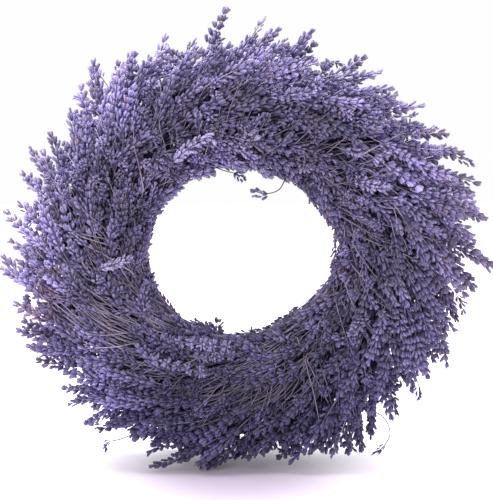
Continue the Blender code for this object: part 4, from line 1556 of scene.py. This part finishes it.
def stem_material(colours):
    """Dry stems, grey violet to brown, each its own shade, and those past 1 darker."""
    material, tree, shader = shader_nodes("dry_stem")
    shade = growth_of(tree)[2]
    light = fade_and_painted_light_node(tree)
    colour = mixed(tree, ranged(tree, shade, 0.0, 1.0), colours.stem, colours.old_stem)
    # Painted shade near the floor, then painted light and shade by place.
    colour = mixed(tree, times(tree, light.outputs["Low"], 0.35), colour, colours.middle)
    colour = scaled(tree, colour, light.outputs["Value"])
    colour = scaled(tree, colour, ranged(tree, shade, 1.0, 2.0, 1.0, 0.3))
    with_grain(tree, shader, colour, 700.0, 0.6, 0.0002)
    shader.inputs["Roughness"].default_value = 0.6
    return material


def mass_material(colours):
    """The heads and stems deep in a bunch, painted dark as shade: long cells that run with the
    flow.
    """
    material, tree, shader = shader_nodes("massed_stems")
    stretch = tree.nodes.new("ShaderNodeMapping")
    stretch.inputs["Scale"].default_value = (9.0, 34.0, 1.0)
    tree.links.new(attribute(tree, "growth").outputs["Vector"], stretch.inputs["Vector"])
    cells = tree.nodes.new("ShaderNodeTexVoronoi")
    cells.inputs["Scale"].default_value = 1.0
    tree.links.new(stretch.outputs[0], cells.inputs["Vector"])
    share = ranged(tree, cells.outputs["Distance"], 0.10, 0.62, 1.0, 0.0)
    colour = mixed(tree, share, colours.mass, colours.foot)
    with_grain(tree, shader, colour, 500.0, 0.8, 0.001)
    shader.inputs["Roughness"].default_value = 0.9
    return material


def wire_material(name, base, dull, roughness, metallic):
    """Wire with an uneven finish, duller in places."""
    material, tree, shader = shader_nodes(name)
    share = ranged(tree, noise_of(tree, 120.0), 0.4, 0.7)
    with_grain(tree, shader, mixed(tree, share, base, dull), 600.0, 0.5, 0.0001)
    shader.inputs["Roughness"].default_value = roughness
    shader.inputs["Metallic"].default_value = metallic
    return material


def floor_material(colours):
    """Pale paper that glows a little as painted light, less under the wreath and before it, where a
    shadow is painted.
    """
    material, tree, shader = shader_nodes("pale_floor")
    under = tree.nodes.new("ShaderNodeMapping")
    under.inputs["Location"].default_value = SHADE_SHIFT
    tree.links.new(object_place(tree), under.inputs["Vector"])
    away = vector_from(tree, "LENGTH", under.outputs["Vector"])
    grain = ranged(tree, noise_of(tree, 300.0), 0.3, 0.7, 0.0, 0.4)
    paper = mixed(tree, grain, colours.floor, linear(243, 230, 249))
    # Painted shadow: the paper is darker under the wreath and before it.
    clear = ranged(tree, away, 0.0, SHADE_REACH, steps="SMOOTHERSTEP")
    paper = mixed(tree, clear, linear(206, 192, 212), paper)
    tree.links.new(paper, shader.inputs["Base Color"])
    # Painted light: the floor glows, least under the wreath and before it.
    shader.inputs["Emission Color"].default_value = (1, 1, 1, 1)
    painted_glow = ranged(tree, away, 0.0, SHADE_REACH, 0.02, 0.8, "SMOOTHERSTEP")
    tree.links.new(painted_glow, shader.inputs["Emission Strength"])
    shader.inputs["Roughness"].default_value = 0.8
    return material


# How deep in the massed stems a calyx is still seen, and over them one under its spike.
DEEPEST_SEEN, UNDER_SEEN = -0.006, 0.004
UNDER_SPIKE = -0.35

STATE = {}


def prepared():
    """The spikes, the lines and the materials that every bunch is made from."""
    if not STATE:
        heads, starts = STATE["heads"], STATE["starts"] = model_heads()
        colours = bpy.context.scene.wreath_colours
        STATE["shapes"], STATE["calyx"] = model_spikes()
        STATE["fills"] = finer_spikes(heads, starts)
        STATE["stems"] = bare_stems(starts)
        makers = (bloom_material, stem_material, mass_material)
        STATE["materials"] = [make(colours) for make in makers]
        STATE["rng"] = random.Random(PIECE_SEED)
    return STATE


def seen_calyxes(points, line):
    """Which of a spike's calyxes can be seen: not those under it or in the massed stems."""
    middles = points.reshape(-1, CALYX_POINTS, 3).mean(axis=1)
    theta = np.arctan2(middles[:, 0], middles[:, 2] - CENTRE_HEIGHT)
    radius = bundle_radius(theta)
    height = CENTRE_HEIGHT + radius * np.cos(theta)
    away = middles - np.stack([radius * np.sin(theta), 0 * theta, height], 1)
    out = away[:, 0] * np.sin(theta) + away[:, 2] * np.cos(theta)
    psi = whole_turn(np.arctan2(-away[:, 1], out))
    over = np.linalg.norm(away, axis=1) - core_reach(psi)
    nearest = np.linalg.norm(middles[:, None] - line, axis=2).argmin(axis=1)
    aside = normalised(middles - line[nearest] + 1e-9)
    under = (aside * normalised(away)).sum(axis=1) < UNDER_SPIKE
    return (over > DEEPEST_SEEN) & ~(under & (over < UNDER_SEEN))


def add_spike(bunch, state, line, length, kind, width):
    """A spike on the end of a line, without the calyxes that can't be seen, and its stem."""
    rng = state["rng"]
    shape = rng.choice(state["shapes"][kind])
    spin, shade = rng.uniform(0, 2 * math.pi), rng.random()
    points = carried(shape, line, length, width, spin)
    steps, _ = along_line(line)
    kept = seen_calyxes(points, line[steps > steps[-1] - length - 0.002])
    kept_points = np.repeat(kept, CALYX_POINTS)
    number = np.cumsum(kept_points) - 1
    faces = number[shape["faces"][kept_points[shape["faces"][:, 0]]]]
    bunch.add(points[kept_points], faces, shape["growth"][kept_points], BLOOM, shade)
    radius = bpy.context.scene.wreath_sizes.stem_radius
    keep = line[steps < steps[-1] - 0.004]
    bunch.add(*tube(keep, radius, spacing=0.012), STEM, rng.random())


def add_calyx(bunch, state, line, length):
    """A single calyx along a line, with its own turn and shade."""
    rng, calyx = state["rng"], state["calyx"]
    points = carried(calyx, line, length, 1.0, rng.uniform(0, 2 * math.pi))
    growth = calyx["growth"].copy()
    growth[:, 1] = rng.random()
    bunch.add(points, calyx["faces"], growth, BLOOM, rng.uniform(0.3, 1.0))


def add_thatch(bunch, state, row, place):
    """Single calyxes laid all over a bunch's massed stems, along the flow."""
    rng = state["rng"]
    start, end = state["starts"][place], bunch_ends(state["starts"])[place]
    for i in range(THATCH[row]):
        # Every other one of the outer row lies toward its back, where spikes are few.
        low, high = ROWS[row][0], ROWS[row][1 if row == "outer_bunch" and i % 2 else -1]
        psi, length = rng.uniform(low, high), CALYX_LENGTH * rng.uniform(0.85, 1.2)
        rho = float(core_reach(psi) - mass_depth(row, psi))
        theta = rng.uniform(start, end) + float(sweep(rho, psi))
        rho += float(rim_bulge(theta, psi))
        radius, angle = turn_off_circle(theta, rho, psi)
        angle = angle + rng.gauss(0, 1) * 0.35
        far = np.array([0.0, 0.5, 1.0]) * length
        lift = rng.uniform(-0.1, 0.5)
        line = place_of(
            theta + math.cos(angle) * far / radius,
            rho + THATCH_HEIGHT + lift * far,
            psi - math.sin(angle) * far / max(rho, 0.012),
        )
        add_calyx(bunch, state, line, length)


def add_back(bunch, state, row, place):
    """What a bunch shows behind the ring: stems and single calyxes, wound with the flow."""
    if row not in BACKS:
        return
    rng = state["rng"]
    edge, away, stems, calyxes = BACKS[row]
    start, end = state["starts"][place], bunch_ends(state["starts"])[place]
    reach = float(core_reach(edge))

    def wound(first, last, count):
        beside, off = start + rng.random() * (end - start), rng.uniform(0.0004, 0.0022)
        rho = np.linspace(first, last, count)
        return place_of(beside + sweep(rho, edge), rho, edge + away * off / rho)

    for _ in range(stems):
        line = wound(0.006, reach + rng.uniform(-0.006, 0.004), 8)
        stem = tube(line, BACK_STEM_RADIUS, 0.8, spacing=0.008)
        bunch.add(*stem, STEM, rng.uniform(0.2, 1.6))
    for _ in range(calyxes):
        foot = rng.uniform(0.012, reach)
        line = wound(foot, foot + rng.uniform(0.5, 1.0) * CALYX_LENGTH, 3)
        add_calyx(bunch, state, line, CALYX_LENGTH)


def make_row(row):
    """The pieces of one row's bunches, each in place of its node of the model."""
    state = prepared()
    width = bpy.context.scene.wreath_sizes.spike_width
    for place in range(PLACES):
        owner = ROW_NAMES.index(row) * PLACES + place
        bunch = Bunch()
        points, faces, growth = mass_of_stems(row, place, state["starts"])
        bunch.add(points, faces, growth, MASS, 0.5)
        add_thatch(bunch, state, row, place)
        add_back(bunch, state, row, place)
        for head in state["heads"]:
            if head["owner"] == owner:
                kind = "thin" if head["small"] else "full"
                broad = 1.0 if head["small"] else head["radius"] / MODELLED_HEAD_RADIUS
                line = pressed_to_rim(head["line"], HEAD_RIM_MARGIN)
                add_spike(bunch, state, line, head["length"], kind, broad * width)
        for fill_owner, line, length, kind, broad in state["fills"]:
            if fill_owner == owner:
                add_spike(bunch, state, line, length, kind, broad * width)
        for stem_owner, line, shade in state["stems"]:
            if stem_owner == owner:
                bunch.add(*tube(line, BARE_STEM_RADIUS, 0.8, spacing=0.010), STEM, shade)
        name = f"lavender_{row.split('_')[0]}_{place + 1:02d}"
        piece = bunch.made(name, state["materials"])
        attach(piece, "root")
        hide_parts(f"{row}_{place + 1:02d}")


def make_sprigs(name):
    """A piece of single sprigs and spikes that show clear of the rest."""
    state = prepared()
    bunch = Bunch()
    for kind, length, width, shade, corners in SPRIGS[name]:
        line = sprig_line(corners)
        shape = state["rng"].choice(state["shapes"][kind])
        points = carried(shape, line, length, width, state["rng"].uniform(0, 2 * math.pi))
        bunch.add(points, shape["faces"], shape["growth"], BLOOM, shade)
        steps, _ = along_line(line)
        stem = tube(line[steps < steps[-1] - 0.003], SPRIG_STEM_RADIUS, 0.7, spacing=0.004)
        bunch.add(*stem, STEM, 1.0 if shade > 0.5 else 1.8)
    piece = bunch.made(name, state["materials"])
    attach(piece, "root")


def add_to_scene(scene, name, data, place, back):
    """A lamp or camera at a place, turned so that back points away from what it faces."""
    made = bpy.data.objects.new(name, data)
    scene.collection.objects.link(made)
    made.location = place
    made.rotation_euler = (-back).to_track_quat("-Z", "Y").to_euler()
    return made


def add_light(scene):
    """The soft light of a pale studio all round, and two soft boxes."""
    world = bpy.data.worlds.new("soft_studio")
    scene.world = world
    world.use_nodes = True
    tree = world.node_tree
    sky = tree.nodes["Background"]
    sky.inputs["Color"].default_value = SKY_COLOUR
    rays = tree.nodes.new("ShaderNodeLightPath")
    strength = ranged(tree, rays.outputs["Is Camera Ray"], 0, 1, SKY_LIGHT, SKY_SHOWN)
    tree.links.new(strength, sky.inputs["Strength"])
    for name, (place, size, power) in SOFTBOXES.items():
        light = bpy.data.lights.new(name, "AREA")
        light.size, light.energy = size, power
        add_to_scene(scene, name, light, place, Vector(place) - Vector(LIT_POINT))


def add_camera(scene):
    """The camera at the photograph's viewing angle."""
    camera = bpy.data.cameras.new("camera")
    camera.lens, camera.sensor_width = LENS, SENSOR
    tilt = scene.wreath_sizes.camera_elevation
    back = Vector((0, -math.cos(tilt), math.sin(tilt)))
    place = Vector(VIEW_TARGET) + back * DISTANCE
    scene.camera = add_to_scene(scene, "camera", camera, place, back)


class WREATH_OT_outer_bunches(bpy.types.Operator):
    """Make the fringe: the spikes that fan out round the outside"""

    bl_idname = "wreath.outer_bunches"
    bl_label = "Outer bunches"

    def execute(self, context):
        make_row("outer_bunch")
        return {"FINISHED"}


class WREATH_OT_face_bunches(bpy.types.Operator):
    """Make the spikes over the front"""

    bl_idname = "wreath.face_bunches"
    bl_label = "Face bunches"

    def execute(self, context):
        make_row("face_bunch")
        return {"FINISHED"}


class WREATH_OT_inner_bunches(bpy.types.Operator):
    """Make the small spikes along the hole"""

    bl_idname = "wreath.inner_bunches"
    bl_label = "Inner bunches"

    def execute(self, context):
        make_row("inner_bunch")
        return {"FINISHED"}


class WREATH_OT_sprigs(bpy.types.Operator):
    """Add the single sprigs that stand clear of the rest, and the clearest spikes"""

    bl_idname = "wreath.sprigs"
    bl_label = "Loose sprigs"

    def execute(self, context):
        for name in SPRIGS:
            make_sprigs(name)
        return {"FINISHED"}


class WREATH_OT_wires(bpy.types.Operator):
    """Give the ring and the binding wire their finish"""

    bl_idname = "wreath.wires"
    bl_label = "Wires"

    def execute(self, context):
        finishes = {
            "wire_ring": wire_material(
                "dull_steel", (0.16, 0.16, 0.15), (0.09, 0.07, 0.05), 0.45, 1.0
            ),
            "binding_wire": wire_material(
                "green_lacquer", (0.05, 0.09, 0.05), (0.03, 0.04, 0.03), 0.4, 0.0
            ),
        }
        for node, finish in finishes.items():
            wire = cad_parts[node]
            if not wire.material_slots:
                raise RuntimeError(f"{node} has no material slot")
            for slot in wire.material_slots:
                slot.link = "OBJECT"
                slot.material = finish
        return {"FINISHED"}


class WREATH_OT_stage(bpy.types.Operator):
    """Set the pale floor, the soft light and the camera"""

    bl_idname = "wreath.stage"
    bl_label = "Stage"

    def execute(self, context):
        scene = context.scene
        nothing_selected()
        bpy.ops.mesh.primitive_plane_add(size=1.0, location=FLOOR_PLACE)
        floor = context.object
        floor.name = "floor"
        floor.scale = FLOOR_SIZE
        bpy.ops.object.transform_apply(location=True, rotation=True, scale=True)
        floor.data.materials.append(floor_material(scene.wreath_colours))
        add_light(scene)
        add_camera(scene)
        scene.view_settings.view_transform = "Standard"
        return {"FINISHED"}


class WREATH_PT_panel(bpy.types.Panel):
    """The wreath's steps, sizes and colours"""

    bl_label = "Lavender wreath"
    bl_idname = "WREATH_PT_panel"
    bl_space_type = "VIEW_3D"
    bl_region_type = "UI"
    bl_category = "Wreath"

    def draw(self, context):
        layout = self.layout
        for operator in OPERATORS:
            layout.operator(operator.bl_idname)
        for group in (context.scene.wreath_sizes, context.scene.wreath_colours):
            for name in group.__annotations__:
                layout.prop(group, name)


OPERATORS = (
    WREATH_OT_outer_bunches,
    WREATH_OT_face_bunches,
    WREATH_OT_inner_bunches,
    WREATH_OT_sprigs,
    WREATH_OT_wires,
    WREATH_OT_stage,
)
CLASSES = (WreathColours, WreathSizes, *OPERATORS, WREATH_PT_panel)


def register():
    for cls in CLASSES:
        bpy.utils.register_class(cls)
    bpy.types.Scene.wreath_colours = bpy.props.PointerProperty(type=WreathColours)
    bpy.types.Scene.wreath_sizes = bpy.props.PointerProperty(type=WreathSizes)


def unregister():
    del bpy.types.Scene.wreath_sizes
    del bpy.types.Scene.wreath_colours
    for cls in reversed(CLASSES):
        bpy.utils.unregister_class(cls)


def main():
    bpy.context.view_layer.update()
    register()
    bpy.ops.wreath.outer_bunches()
    bpy.ops.wreath.face_bunches()
    bpy.ops.wreath.inner_bunches()
    bpy.ops.wreath.sprigs()
    bpy.ops.wreath.wires()
    bpy.ops.wreath.stage()


if __name__ == "__main__":
    main()
